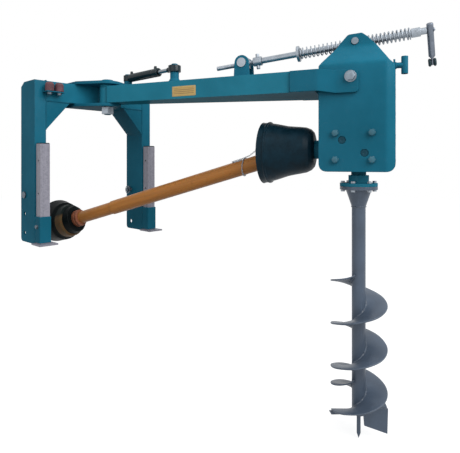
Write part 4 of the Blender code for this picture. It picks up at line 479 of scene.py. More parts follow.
def moved_in(loop, distance):
    """An outline with each corner moved in from both its sides: p + d (n1 + n2) / (1 + n1.n2)."""
    ahead = np.roll(loop, -1, axis=0) - loop
    ahead /= np.maximum(np.linalg.norm(ahead, axis=1), 1e-9)[:, None]
    normal = np.stack([-ahead[:, 1], ahead[:, 0]], axis=1)
    before = np.roll(normal, 1, axis=0)
    return loop + distance * (normal + before) / (1 + (normal * before).sum(1))[:, None]


def spaced(loop, step):
    """An outline with extra points, so that none of its sides is longer than about the step."""
    ring = np.vstack([loop, loop[:1]])
    reach = np.concatenate([[0], np.cumsum(np.linalg.norm(np.diff(ring, axis=0), axis=1))])
    extra = np.arange(0, reach[-1], step)
    extra = extra[np.abs(extra[:, None] - reach[None]).min(axis=1) > 0.3 * step]
    marks = np.sort(np.concatenate([reach[:-1], extra]))
    return np.stack([np.interp(marks, reach, ring[:, k]) for k in (0, 1)], axis=1)


def cut_plate(outline, holes, start, thick, edge, plane='XY', step=None, shift=None):
    """A plate cut to an outline (x, y) with round holes (x, y, radius). Each rim is a quarter round,
    inset e (1 - sin a) at depth e (1 - cos a), on both faces. With a step the faces are divided into
    a net, whose points shift(x, y) moves along the plate's thickness, so that it can be bent."""
    outline = np.asarray(outline, float)
    if step:
        outline = spaced(outline, step)
    loops = [(outline, 1)] + [(round_of((x, y), radius), -1) for x, y, radius in holes]
    turn = np.linspace(0, np.pi / 2, 5)
    inset, depth = edge * (1 - np.sin(turn)), edge * (1 - np.cos(turn))
    inset, depth = np.concatenate([inset, inset[::-1]]), np.concatenate([depth, thick - depth[::-1]])
    surfaces = []
    for loop, way in loops:
        rim = np.stack([np.column_stack([moved_in(loop, way * i), np.full(len(loop), d)])
                        for i, d in zip(inset, depth)])
        surfaces.append((rim.reshape(-1, 3), grid_faces(len(rim), len(loop))))
    rims = [moved_in(loop, way * edge) for loop, way in loops]
    spots = np.vstack(rims)
    counts = np.cumsum([0] + [len(rim) for rim in rims])
    sides = [np.stack([np.arange(a, b), np.roll(np.arange(a, b), -1)], axis=1)
             for a, b in zip(counts, counts[1:])]
    if step:
        low, high = outline.min(axis=0), outline.max(axis=0)
        net = np.stack(np.meshgrid(np.arange(low[0], high[0], step), np.arange(low[1], high[1], step)),
                       axis=-1).reshape(-1, 2)
        apart = np.sqrt(((net[:, None] - spots[None]) ** 2).sum(-1)).min(axis=1)
        spots = np.vstack([spots, net[apart > 0.5 * step]])
    flat, _, triangles, *_ = geometry.delaunay_2d_cdt(
        [Vector(spot) for spot in spots], np.vstack(sides).tolist(), [], 1, 1e-7)
    flat, triangles = np.array(flat), np.array(triangles)
    middle = flat[triangles].mean(axis=1)
    kept = np.ones(len(triangles), bool)
    for x, y, radius in holes:
        kept &= np.hypot(middle[:, 0] - x, middle[:, 1] - y) > radius
    used, triangles = np.unique(triangles[kept], return_inverse=True)
    triangles = triangles.reshape(-1, 3)
    for level in (0.0, thick):
        surfaces.append((np.column_stack([flat[used], np.full(len(used), level)]), triangles))
    placed = []
    for points, corners in surfaces:
        x, y = points[:, 0], points[:, 1]
        lift = points[:, 2] + start + (shift(x, y) if shift else 0)
        placed.append((np.stack((x, y, lift) if plane == 'XY' else (x, lift, y), axis=1), corners))
    return placed


for name, node, height, reach, *anchor in (
        ("pivot_top_disc", "pivot_top_plate", TOP_PLATE, ANCHOR_SIDE, (*ANCHOR_AT, ANCHOR_BORE)),
        ("pivot_low_disc", "pivot_bottom_plate", LOW_PLATE, PIVOT_HALF)):
    corners = [(x, y) for y in (-PIVOT_HALF, reach) for x in (PIVOT_REAR, PIVOT_FRONT)]
    if anchor:
        corners[-1] = (POST_FRONT, reach)
    outline = np.vstack([corners, round_of(PIVOT_AT, PIVOT_R, 80)]
                        + [round_of(ANCHOR_AT, ANCHOR_R) for _ in anchor])
    assembled(name, cut_plate(wrapped(outline), [(*PIVOT_AT, PIVOT_BORE), *anchor], height, PIVOT_THICK,
                              PLATE_EDGE), petrol, PORTAL, node)
over, under = TOP_PLATE + 0.0002, LOW_PLATE + 0.0158
assembled("pivot_weld_seams", [
    seam((POST_FRONT, -PIVOT_HALF + 0.004, z), (POST_FRONT, PIVOT_HALF - 0.004, z), (1, 0, 0.4))
    for z in (over, under)] + [
    seam((0.011, -PIVOT_HALF, over), (0.117, -PIVOT_HALF, over)),
    seam((PIVOT_REAR, -PIVOT_HALF, over), (PIVOT_REAR, ANCHOR_SIDE - 0.002, over)),
    seam((0.011, -PIVOT_HALF, under), (0.117, -PIVOT_HALF, under))], petrol, PORTAL)

# Slew pin: a forged pin with a dished head, painted with the portal, and held below by a plated
# nut with its washer face up.
SLEW = ("portal", Matrix.Translation((*PIVOT_AT, 0)))
PIN_R, PIN_HEAD_R, PIN_HEAD, PIN_FOOT, PIN_TOP = 0.018, 0.038, 0.012, 0.4344, 0.6266


def hexagon(flats, start, end, axis, centre=(0, 0, 0), bore=0.0, steps=96):
    """A hexagonal head or nut. Its radius at each angle is that of the flats, a / cos(angle), and
    its far end falls away by 30 degrees outside the circle that the flats touch."""
    angle = turn_of(steps)
    flat = flats / 2
    limit = flat / np.cos((angle + np.pi / 6) % (np.pi / 3) - np.pi / 6)
    fall = np.maximum(limit - flat * 0.97, 0) * math.tan(math.radians(30))
    way = math.copysign(1.0, end - start)
    rows = [(start, bore), (start, limit), (end - fall * way, limit), (end, flat * 0.97), (end, bore)]
    along, radius = (np.stack([np.broadcast_to(row[k], steps) for row in rows]) for k in (0, 1))
    return spun(along, radius, axis, centre, bore > 0)


assembled("slew_pin_dished", [turned(
    rod(PIN_FOOT, (PIN_FOOT + 0.002, PIN_R - 0.002, PIN_R), (PIN_TOP - PIN_HEAD, PIN_R),
        (PIN_TOP - PIN_HEAD * 0.5, PIN_HEAD_R), (PIN_TOP, PIN_HEAD_R, PIN_HEAD_R - 0.010),
        (PIN_TOP - 0.003, 0.009, 0.006)), 'Z', 0.0014)], petrol, SLEW, "slew_pin")
assembled("slew_nut_hex", [hexagon(0.0615, 0.4764, 0.4384, 'Z', bore=PIN_R + FIT)], zinc, SLEW, "slew_nut")

# Hose couplers: the cylinder's two hoses end in plated quick couplers, parked in a folded holder
# on the crossbeam under red rubber dust caps.
COUPLERS = (("near", (0.153, -0.300, 0.5403)), ("far", (0.153, -0.248, 0.5403)))
CAP_R, CAP_TALL, CAP_RED = 0.023, 0.046, (0.125, 0.050, 0.062)
GRIP_R, GRIP_RIBS, RIB_DEEP = CAP_R - 0.0012, 28, 0.0011


def rubber(name, colour, slot="black_plastic", roughness=0.42, gloss=0.10):
    """Moulded rubber or plastic: a fine grain and a little drift of the colour."""
    skin = Finish(name, slot, colour, roughness, Specular_IOR_Level=gloss)
    drift = skin.ranged(skin.noise(22.0, 5.0, 0.65), 0.35, 0.7)
    skin.feed("Base Color", skin.blend(drift, skin.shade(0.75), skin.shade(1.25, 0.002)))
    skin.feed("Roughness", skin.ranged(drift, 0.0, 1.0, roughness - 0.08, roughness + 0.14))
    skin.bump(skin.noise(900.0, 2.0), 0.00015)
    return skin


def ribbed(profile, ribs, depth, low, high, centre, steps=144):
    """A surface round Z whose radius grows by depth |cos(ribs a / 2)| between two heights."""
    angle = turn_of(steps)
    gripped = ((profile[:, 0] > low) & (profile[:, 0] < high))[:, None]
    radius = profile[:, 1:] + gripped * depth * (np.abs(np.cos(ribs * angle / 2)) - 1)
    return spun(profile[:, :1], radius, 'Z', centre)


eased("coupler_holder_fold", "coupler_holder", petrol, PORTAL, 0.0012)
cap_rubber = rubber("red_rubber", CAP_RED, "red_cap", 0.5, 0.3)
cap = softened(rod(0, (0.006, CAP_R), (0.009, GRIP_R), (0.034, GRIP_R), (0.0355, GRIP_R),
                   (CAP_TALL, GRIP_R, CAP_R - 0.008), (CAP_TALL - 0.0015, 0.006, 0)), 0.0030)
for label, spot in COUPLERS:
    assembled(label + "_dust_cap", [ribbed(cap, GRIP_RIBS, RIB_DEEP, 0.008, 0.036, spot)],
              cap_rubber, PORTAL, label + "_hose_coupler")
    assembled(label + "_coupler_body", [turned(
        rod(-0.018, (-0.0165, 0.0085, 0.0115), (-0.012, 0.0115), (-0.010, 0.0115, 0.0137), (-0.001, 0.0137)),
        'Z', 0.0008, spot)], dull_zinc, PORTAL)

# Leg sleeves: short square tubes welded to the posts, each with a plated clamp bolt on its outer
# side, which is done up against the leg.
LEG_X, LEG_Y, SLEEVE_HALF, SLEEVE_IN = 0.1494, 0.333, 0.0301, 0.0251
SLEEVE_LOW, SLEEVE_HIGH, CLAMP_AT = -0.2365, -0.104, (LEG_X, 0, -0.155)


def square_of(half, corner, steps=5):
    """A square with rounded corners, in plan."""
    return softened([(-half, -half), (half, -half), (half, half), (-half, half)], corner, steps, True)


def tube_of(outer, inner, start, end, ease, centre):
    """A straight tube between two outlines of equally many points, with its end rims eased."""
    small = 1 - ease / np.abs(outer).max()
    rows = [(inner, start), (outer * small, start), (outer, start + ease), (outer, end - ease),
            (outer * small, end), (inner, end)]
    points = np.vstack([np.column_stack([loop, np.full(len(loop), z)]) for loop, z in rows])
    return points + np.array(centre), grid_faces(len(rows), len(outer), True)


for side, label in ((-1, "left"), (1, "right")):
    face = LEG_Y + SLEEVE_HALF
    assembled(label + "_sleeve_tube", [
        tube_of(square_of(SLEEVE_HALF, 0.006), square_of(SLEEVE_IN, 0.002), SLEEVE_LOW, SLEEVE_HIGH, 0.0012,
                (LEG_X, side * LEG_Y, 0))]
        + [seam(*[(POST_FRONT + 0.001, side * LEG_Y + way * 0.0285, z)
                  for z in (SLEEVE_LOW + 0.004, SLEEVE_HIGH - 0.004)], (1, way, 0)) for way in (-1, 1)],
        petrol, PORTAL, label + "_leg_sleeve")
    assembled(label + "_clamp_bolt", [
        hexagon(0.0165, side * (face + 0.0022), side * (face + 0.0090), 'Y', CLAMP_AT),
        turned(rod(face - 0.002, (face + 0.0022, 0.0105), way=side), 'Y', 0.0005, CLAMP_AT, 40)],
        dull_zinc, PORTAL, label + "_leg_sleeve")

# Parking legs: hot-dip galvanised square tubes with a foot plate welded on and three holes for the
# clamp bolt. A black plastic plug closes each one's top.
GALVANISED, LEG_TOP = (0.235, 0.230, 0.275), 0.267
FOOT_RIM, FOOT_Z = 0.0245, -0.2385
PLUG = ((-0.012, 0), (-0.012, 0.0205), (0, 0.0205), (0, 0.0242), (0.0030, 0.0242), (0.0048, 0.0220),
        (0.0052, 0.011), (0.0052, 0))


def spangled(name, colour):
    """Hot-dip zinc: crystals a few millimetres wide and long drawing marks, dull with age."""
    skin = Finish(name, "galvanised", colour, 0.45, 0.15)
    crystal = skin.node("TexVoronoi", {"Vector": skin.place, "Scale": 130.0}, "Color")
    bright = skin.maths('MULTIPLY', skin.node("RGBToBW", {0: crystal}), 0.35)
    streak = skin.maths('MULTIPLY', skin.noise(140.0, 3.0, 0.6, (1, 1, 0.02)), 0.65)
    grey = skin.maths('ADD', bright, streak)
    cloud = skin.noise(16.0, 5.0, 0.65)
    tone = skin.blend(skin.ranged(grey, 0.3, 0.65), skin.shade(0.80), skin.shade(1.18))
    skin.feed("Base Color", skin.blend(skin.ranged(cloud, 0.5, 0.72, 0.0, 0.5), tone, skin.shade(1.35)))
    skin.feed("Roughness", skin.ranged(grey, 0.2, 0.8, 0.34, 0.56))
    skin.bump(cloud, 0.0004, 0.4)
    return skin


galvanised = spangled("galvanised_zinc", GALVANISED)
black_plastic = rubber("black_plastic_grain", (0.003, 0.018, 0.030))
for side, label in ((-1, "left"), (1, "right")):
    leg = (label + "_parking_leg", Matrix.Translation((LEG_X, side * LEG_Y, 0)))
    eased(label + "_leg_tube", label + "_leg", galvanised, leg, 0.0024)
    corners = square_of(1.0, 0.16)
    rings = np.vstack([np.column_stack([corners * half, np.full(len(corners), LEG_TOP + z)])
                       for z, half in PLUG])
    assembled(label + "_leg_plug", [(rings, grid_faces(len(PLUG), len(corners)))], black_plastic, leg)
    assembled(label + "_foot_weld", [
        seam((-FOOT_RIM, way * FOOT_RIM, FOOT_Z), (FOOT_RIM, way * FOOT_RIM, FOOT_Z)) for way in (-1, 1)]
        + [seam((FOOT_RIM, -FOOT_RIM, FOOT_Z), (FOOT_RIM, FOOT_RIM, FOOT_Z), (0.5, 0, 0.8))], galvanised, leg)

# Slew cylinder: a small double-acting cylinder in black enamel. Its eye turns on an anchor pin on
# the upper pivot plate, and its chromed rod pushes on a post on the boom.
EYE_R, EYE_HALF, EYE_Z, CYL_PIN_R, ROD_EYE_R = 0.026, 0.017, 0.6603, 0.010, 0.033
CYL_R, CYL_LONG, CYL_GROOVE, CYL_BORE, CYL_PORTS = 0.0235, 0.284, (0.232, 0.236), 0.0150, (0.036, 0.256)
CYL_ROD_R, CYL_REST, POST_REACH = 0.011, 0.4171, 0.414
EYE_LOW, EYE_HIGH = EYE_Z - EYE_HALF - FIT, EYE_Z + EYE_HALF + FIT
BOOM_START, BOOM_END = 0.0315, 1.170


def seated(body, joint, along, up=(0, 0, 1)):
    """A moving piece's seat: its body, and a frame at a joint's place, with X along a direction and
    Z near up."""
    x, up = Vector(along).normalized(), Vector(up)
    z = (up - x * up.dot(x)).normalized()
    turn = Matrix((x, z.cross(x), z)).transposed().to_4x4()
    return body, Matrix.Translation(Vector(joints[joint]["pos_m"])) @ turn


def boom_share(x):
    return (x - BOOM_START) / (BOOM_END - BOOM_START)


def boom_half(x):
    """Half the boom's width, which grows in a straight line along it."""
    return 0.052 + 0.098 * boom_share(x)


def boom_top(x):
    """The height of the boom's upper face, which falls a little towards the head."""
    return 0.585 - 0.0075 * boom_share(x)


def boom_foot(x):
    """The height of its lower face, which falls more."""
    return 0.495 - 0.012 * boom_share(x)


def sleeve(start, end, inner, outer):
    """A plain sleeve's closed profile, as (along, radius) points."""
    return [(start, inner), (start, outer), (end, outer), (end, inner)]


CYLINDER = seated("cylinder_body", "cylinder_swing", joints["cylinder_stroke"]["axis"])
RAM = ("cylinder_ram", CYLINDER[1])
boom_way = Vector(joints["head_tilt"]["axis"]).cross(Vector((0, 0, 1)))
BOOM = seated("boom", "boom_slew", boom_way)
cylinder_black = enamel("black_enamel", (0.008, 0.020, 0.026), "cylinder_paint", 0.26, (0.12, 0.12, 0.12),
                        0.4, 0.5)
chrome = plated("dark_chrome", (0.27, 0.30, 0.33), 0.18, 0.05, slot="cylinder_paint")
assembled("anchor_pin_turned", [turned(
    rod(0.5993, (0.6146, CYL_PIN_R), (EYE_LOW, 0.023), (EYE_HIGH, CYL_PIN_R), (EYE_HIGH + 0.006, 0.017)),
    'Z', 0.0014, (*ANCHOR_AT, 0))], petrol, PORTAL, "cylinder_anchor_pin")
assembled("boom_post_turned", [
    turned(rod(0.5830, (0.597, 0.031, 0.03007), (0.609, 0.03007, 0.023), (EYE_LOW, 0.023),
               (EYE_HIGH, CYL_PIN_R), (EYE_HIGH + 0.007, 0.017), (EYE_HIGH + 0.009, 0.017, 0.014)),
           'Z', 0.0016, (POST_REACH, 0, 0)),
    hoop(0.030, 0.0030, 'Z', (POST_REACH, 0, boom_top(POST_REACH) + 0.0012))], petrol, BOOM, "cylinder_post")
assembled("cylinder_tube", [
    turned(sleeve(-EYE_HALF, EYE_HALF, CYL_PIN_R + 0.0006, EYE_R), 'Z', 0.002, closed=True),
    turned(rod(0.0206, (0.0245, 0.0165, CYL_R - 0.001), (0.029, CYL_R - 0.001, CYL_R), (CYL_GROOVE[0], CYL_R),
               (CYL_GROOVE[1], CYL_R - 0.0012), (CYL_LONG, CYL_R), (CYL_LONG - 0.003, CYL_ROD_R + 0.0035),
               (0.240, CYL_ROD_R + 0.0004), (0.050, CYL_BORE)), 'X', 0.0012)]
    + [turned(rod(0.0165, (0.031, 0.0085), (0.0365, 0.0072)), 'Z', 0.0008, (x, 0, 0), 40) for x in CYL_PORTS],
    cylinder_black, CYLINDER, "cylinder_barrel")
assembled("cylinder_ram_rod", [turned(
    rod(0.138, (0.158, 0.0146), (CYL_REST - ROD_EYE_R + 0.004, CYL_ROD_R)), 'X', 0.001)],
    chrome, RAM, "cylinder_rod")
assembled("cylinder_ram_eye", [
    turned(sleeve(-EYE_HALF, EYE_HALF, CYL_PIN_R + 0.0032, ROD_EYE_R), 'Z', 0.0025, (CYL_REST, 0, 0),
           closed=True),
    turned(rod(CYL_REST - 0.052, (CYL_REST - 0.030, 0.014, 0.0155), (CYL_REST - 0.028, 0.0155)), 'X', 0.001)],
    cylinder_black, RAM)

# Boom: a box section folded from 6 mm plate, wider towards the head, welded round the slew tube
# at one end and closed by a plate at the other.
SLEW_TUBE_R = 0.0415
# The boom's paint is a lighter copy of the petrol blue. This is painted light, so that the boom looks more
# brightly lit than the cheeks and head.
boom_blue_painted_light = enamel("boom_enamel_painted_light", (0.0200, 0.200, 0.292))
eased("boom_box", "boom_beam", boom_blue_painted_light, BOOM, 0.006)
turn = np.linspace(-2.05, 2.05, 40)
tube_edge = np.column_stack([SLEW_TUBE_R * np.cos(turn), SLEW_TUBE_R * np.sin(turn),
                             boom_top(SLEW_TUBE_R * np.cos(turn)) + 0.001])
assembled("boom_weld_seams", [
    wire(tube_edge, SEAM_R * (1 + 0.1 * np.sin(np.arange(40) * 2.4)), 8),
    seam((BOOM_START + 0.012, -0.015, boom_top(BOOM_START) + 0.0004),
         (0.30, -0.015, boom_top(0.30) + 0.0004))], boom_blue_painted_light, BOOM)

# Fork cheeks: 12 mm plates welded to the boom's sides. Past the head's edge they are bent inwards,
# to lie against the head's own plates at the tilt bolt.
CHEEK_THICK, CHEEK_START, CHEEK_BEND, CHEEK_FLAT = 0.012, 1.060, 1.184, 1.259
CHEEK_LOW, CHEEK_HIGH, CHEEK_END = 0.471, 0.570, 1.354
TILT_AT, TILT_R, HEAD_HALF = (1.322, 0, 0.540), 0.015, 0.133


def at_least(value, floor, soft=0.002):
    """The greater of two shifts, with a bend of a few millimetres where they cross:
    (a + b + sqrt((a - b)^2 + k^2)) / 2."""
    return (value + floor + np.sqrt((value - floor) ** 2 + soft ** 2)) / 2


def cheek_shift(side):
    """Out along the boom's side, then in to the head's plate: each bend is rounded by at_least."""
    base = boom_half(CHEEK_BEND) + FIT
    fall = (base - HEAD_HALF - FIT) / (CHEEK_FLAT - CHEEK_BEND)
    return lambda x, z: side * at_least(
        -at_least(-boom_half(x) - FIT, fall * (x - CHEEK_BEND) - base), HEAD_HALF + FIT)


cheek_corners = np.array([
    (CHEEK_START, boom_foot(CHEEK_START), 0.001), (CHEEK_BEND, boom_foot(CHEEK_BEND), 0.02),
    (CHEEK_FLAT, CHEEK_LOW, 0.02), (CHEEK_END, CHEEK_LOW, 0.018), (CHEEK_END, CHEEK_HIGH, 0.018),
    (CHEEK_FLAT, CHEEK_HIGH, 0.02), (CHEEK_BEND, boom_top(CHEEK_BEND), 0.02),
    (CHEEK_START, boom_top(CHEEK_START), 0.001)])
cheek_outline = softened(cheek_corners[:, :2], cheek_corners[:, 2], 6, True)
for side, label in ((-1, "near"), (1, "far")):
    rear = (CHEEK_START - 0.001, side * (boom_half(CHEEK_START) + 0.001))
    assembled(label + "_cheek_plate",
              cut_plate(cheek_outline, [(TILT_AT[0], TILT_AT[2], TILT_R + FIT)], min(side, 0) * CHEEK_THICK,
                        CHEEK_THICK, 0.0014, 'XZ', 0.006, cheek_shift(side))
              + [seam((*rear, boom_foot(CHEEK_START) + 0.006), (*rear, boom_top(CHEEK_START) - 0.006),
                      (0, side, 0))], petrol, BOOM, label + "_fork_cheek")

# Data plate on the boom's near side: a thin yellow enamelled plate with nothing on it but four
# plain ruled lines, held by four rivets.
PLATE_X, PLATE_Z, PLATE_THICK, RIVET_IN = (0.446, 0.580), (0.502, 0.552), 0.0009, 0.007
PLATE_YELLOW, RULE_BROWN = (0.56, 0.37, 0.11), (0.17, 0.075, 0.03)
RULE_START, RULE_HALF = 0.0205, 0.0045          # a line's height, and half the way to the next line
plate = Finish("yellow_plate_enamel", "yellow_plastic", PLATE_YELLOW, 0.35)
x, _, z = add_node(plate.tree, "SeparateXYZ", {0: plate.place}).outputs
from_edge = [plate.maths('SUBTRACT', (high - low) / 2, plate.maths(
    'ABSOLUTE', plate.maths('SUBTRACT', part, (low + high) / 2)))
    for part, (low, high) in ((x, PLATE_X), (z, PLATE_Z))]
rule = plate.maths('PINGPONG', plate.maths('SUBTRACT', z, RULE_START), RULE_HALF)
ruled = plate.maths('MULTIPLY', plate.ranged(rule, 0.0012, 0.0016, 1, 0),
                    plate.ranged(plate.maths('MINIMUM', *from_edge), 0.0095, 0.0100))
faded = plate.blend(plate.ranged(plate.noise(60.0, 5.0, 0.7), 0.45, 0.7, 0, 0.35), PLATE_YELLOW,
                    plate.shade(0.6))
plate.feed("Base Color", plate.blend(plate.maths('MULTIPLY', ruled, 0.85), faded, RULE_BROWN))
plate_corners = [(PLATE_X[0], PLATE_Z[0]), (PLATE_X[1], PLATE_Z[0]), (PLATE_X[1], PLATE_Z[1]),
                 (PLATE_X[0], PLATE_Z[1])]
plate_outline = softened(plate_corners, 0.004, 4, True)
assembled("rating_plate_bare", cut_plate(plate_outline, [], -PLATE_THICK, PLATE_THICK, 0.0002, 'XZ', 0.01,
                                         lambda x, z: -boom_half(x)), plate, BOOM)
rivets = []
for x in (PLATE_X[0] + RIVET_IN, PLATE_X[1] - RIVET_IN):
    low = boom_half(x)
    rivet = rod(low, (low + 0.0016, 0.0018, 0.0016), (low + 0.0020, 0.0016, 0), way=-1)
    rivets += [turned(rivet, 'Y', 0.0006, (x, 0, z), 20)
               for z in (PLATE_Z[0] + RIVET_IN, PLATE_Z[1] - RIVET_IN)]
assembled("rating_plate_rivets", rivets, zinc, BOOM)

# Spindle bracket: two ears on a base plate, welded on the boom, with the plated swivel nut that
# the tilting spindle's thread runs through.
spindle_way = joints["crank_turn"]["axis"]
NUT = seated("nut", "nut_swing", spindle_way)
eased("spindle_bracket_ears", "spindle_bracket", petrol, BOOM, 0.0020)
assembled("spindle_bracket_welds", [seam(*[(x, way * 0.0425, boom_top(x) + 0.0012) for x in (0.758, 0.836)])
                                    for way in (-1, 1)], petrol, BOOM)
eased("swivel_nut_block", "spindle_nut", zinc, NUT, 0.0016)

# Head: two 8 mm side plates, pressed inwards at the top where they carry the spindle's trunnion
# and with their outer edges folded over, joined by a welded end plate.
HEAD = seated("head", "head_tilt", boom_way)
HEAD_LEFT, HEAD_RIGHT, HEAD_BOTTOM, HEAD_PLATE = -0.138, 0.179, -0.408, 0.008
EDGE_FOLD, JOGGLE_LOW, JOGGLE_HIGH, TRUNNION = 0.147, 0.061, 0.146, (0.010, 0.172, 0.0166)
BOX_BOLTS = [(0.0105 + x * 0.0765, -0.2975 + z * 0.0575) for x in (-1, 1) for z in (-1, 1)]
SIGHT_HOLES = ((-0.038, -0.271), (0.056, -0.327))
head_corners = np.array([
    (HEAD_LEFT, HEAD_BOTTOM, 0.038), (HEAD_RIGHT, HEAD_BOTTOM, 0.038), (HEAD_RIGHT, 0.047, 0.010),
    (HEAD_RIGHT - 0.024, 0.067, 0.010), (0.104, JOGGLE_HIGH, 0.010), (0.062, 0.190, 0.022),
    (0.040, 0.207, 0.014), (-0.020, 0.203, 0.024), (-0.052, 0.168, 0.012), (-0.068, JOGGLE_HIGH, 0.010),
    (HEAD_LEFT, 0.055, 0.010)])
head_outline = softened(head_corners[:, :2], head_corners[:, 2], 8, True)


def head_shift(side):
    """In by the rise above the joggle's foot, up to its full depth, and in again past the fold."""
    def shift(x, z):
        joggle = -at_least(-at_least(z - JOGGLE_LOW, 0, 0.010), JOGGLE_LOW - JOGGLE_HIGH, 0.010)
        return -side * at_least(at_least(x - EDGE_FOLD, 0, 0.006), joggle, 0.006)
    return shift


for side, label in ((-1, "near"), (1, "far")):
    holes = [(0, 0, TILT_R + 0.0006), TRUNNION] + [(*spot, 0.0083) for spot in BOX_BOLTS]
    if side < 0:
        holes += [(*spot, 0.017) for spot in SIGHT_HOLES]
    low = -HEAD_HALF if side < 0 else HEAD_HALF - HEAD_PLATE
    assembled(label + "_side_plate",
              cut_plate(head_outline, holes, low, HEAD_PLATE, 0.0012, 'XZ', 0.006, head_shift(side)),
              petrol, HEAD, label + "_head_plate")
eased("head_end_cover", "head_end_plate", petrol, HEAD, 0.0016)
assembled("head_weld_seams", [
    seam(*[(HEAD_RIGHT - 0.0035, way * (HEAD_HALF - 0.0385), z) for z in (-0.366, 0.040)], (1, way, 0))
    for way in (-1, 1)], petrol, HEAD)

# Bevel gearbox: a cast iron housing between the side plates, sprayed with them. Eight bolts hold
# it, and its two necks stand out for the drive shaft and for the auger. Its filler and level plugs
# show through two holes in the near side plate, and their dark colour is painted shade for those holes.
BOX_Z, NECK_END, PLUG_FACE = -0.308, -0.1745, 0.1248
cast_paint = enamel("sprayed_casting", (0.0100, 0.122, 0.188), "housing_paint", 0.50, (0.09, 0.10, 0.10), 0.4)
# The bolt heads' lighter teal-grey and their bright rubbed edges are partly wear and partly painted
# highlight.
bolt_paint_worn_and_highlit = enamel("rubbed_bolt_enamel_and_highlight", (0.060, 0.170, 0.225), roughness=0.40, worn=(0.30, 0.36, 0.40),
                    wear=0.9, gloss=0.25)
eased("gearbox_casting", "gearbox_housing", cast_paint, HEAD, 0.0022)
washer, bolt_top = HEAD_HALF + 0.0028, HEAD_HALF + 0.0118
assembled("gearbox_bolt_heads", [surface for side in (-1, 1) for x, z in BOX_BOLTS for surface in (
    hexagon(0.0240, side * washer, side * bolt_top, 'Y', (x, 0, z), 0, 72),
    turned(rod(HEAD_HALF + 0.0002, (washer, 0.0152), way=side), 'Y', 0.0006, (x, 0, z), 40))],
    bolt_paint_worn_and_highlit, HEAD)
assembled("gearbox_neck_ring", [turned(sleeve(HEAD_LEFT - 0.0005, NECK_END, 0.030, 0.043), 'X', 0.002,
                                       (0, 0, BOX_Z), 72, True)], cast_paint, HEAD)
# The plugs' dark blue is painted shade, which darkens the two sight holes.
plug_painted_shade = rubber("oil_plug_painted_shade", (0.006, 0.060, 0.092), "housing_paint", 0.45, 0.15)
plug = rod(PLUG_FACE, (PLUG_FACE + 0.0024, 0.0148), (PLUG_FACE + 0.0014, 0.0060, 0.0045), way=-1)
assembled("oil_plugs_painted_shade", [turned(plug, 'Y', 0.0006, (x, 0, z), 40) for x, z in SIGHT_HOLES], plug_painted_shade, HEAD)

# Tilt bolt: one plated bolt through both cheeks and both side plates, with a hexagon head
# and washer on the near side and a nut on the far side. The head tilts on it.
CHEEK_OUT = HEAD_HALF + CHEEK_THICK + 2 * FIT
bolt_zinc = plated("bolt_zinc", (0.20, 0.24, 0.28))
assembled("tilt_bolt_turned", [
    turned(rod(-CHEEK_OUT - 0.004, (-CHEEK_OUT, 0.0255), (CHEEK_OUT + 0.0215, TILT_R),
               (CHEEK_OUT + 0.023, TILT_R, TILT_R - 0.0015)), 'Y', 0.0012, TILT_AT),
    hexagon(0.0360, -CHEEK_OUT - 0.004, -CHEEK_OUT - 0.019, 'Y', TILT_AT),
    hexagon(0.0445, CHEEK_OUT + 0.0002, CHEEK_OUT + 0.019, 'Y', TILT_AT, TILT_R)],
    bolt_zinc, BOOM, "tilt_bolt")

# Tee handle: a stub rod and a crossed piece of tube welded to the head's outer end, for pulling
# the head round by hand.
TEE_AT, TEE_HALF, TEE_R = (0.2163, -0.060, 0.048), 0.0375, 0.014
assembled("tee_handle_tube", [
    turned(rod(HEAD_RIGHT + FIT, (TEE_AT[0] - 0.006, 0.0125)), 'X', 0.0008, (0, *TEE_AT[1:])),
    hoop(0.0128, 0.0026, 'X', (HEAD_RIGHT + 0.0025, *TEE_AT[1:])),
    turned([(-TEE_HALF, 0.0105), (-TEE_HALF, TEE_R), (TEE_HALF, TEE_R), (TEE_HALF, 0.0),
            (TEE_HALF - 0.006, 0.0), (TEE_HALF - 0.006, 0.0105)], 'Z', 0.0014, TEE_AT, closed=True)],
    petrol, HEAD, "tee_handle")

# Bell guard: a moulded black hood clipped to the gearbox's neck, over the drive shaft's joint.
# Its mouth has a thick rolled lip, and hangs a little under its own weight.
BELL_FACE, BELL_WALL, BELL_BORE, BELL_START, BELL_LONG = -0.1503, 0.005, 0.0295, 0.0245, 0.272
BELL_DROOP = 0.014              # how far the mouth hangs below the neck
BELL_REAR = [(BELL_START, 0.046), (0.0255, 0.068), (0.0295, 0.083), (0.0415, 0.096), (0.064, 0.106)]
BELL = [(0.095, 0.1110), (0.125, 0.1150), (0.150, 0.1190), (0.205, 0.134), (0.232, 0.140)]
BELL_LIP = [(0.235, 0.1470), (0.241, 0.1475), (0.247, 0.1440), (0.266, 0.1450), (0.270, 0.1475),
            (BELL_LONG, 0.1450)]
bell_inner = [(length + 0.004, radius - 0.004) for length, radius in BELL_REAR[1:]]
bell_inner += [(length, radius - BELL_WALL) for length, radius in BELL + BELL_LIP[2:4] + BELL_LIP[5:]]
bell_outline = ([(BELL_START, BELL_BORE)] + BELL_REAR + BELL + BELL_LIP + bell_inner[::-1]
                + [(BELL_START + BELL_WALL, BELL_BORE)])
bell_profile = [(BELL_FACE - length, radius) for length, radius in bell_outline]
hood_points, hood_faces = turned(bell_profile, 'X', 0.004, (0, 0, BOX_Z), 96, True)
reach = np.clip((BELL_FACE - BELL_START - hood_points[:, 0]) / (BELL_LONG - BELL_START), 0, 1)
hood_points[:, 2] -= BELL_DROOP * reach ** 1.3
assembled("bell_hood", [(hood_points, hood_faces)], black_plastic, HEAD, "bell_guard")

# Spindle trunnion: a cross block that swivels between the head's lugs, bored for the spindle, with
# a flat on each side for a spring to press on.
CARRIER = seated("spindle_carrier", "crank_turn", spindle_way)
eased("trunnion_block", "head_trunnion", bolt_zinc, CARRIER, 0.0012)

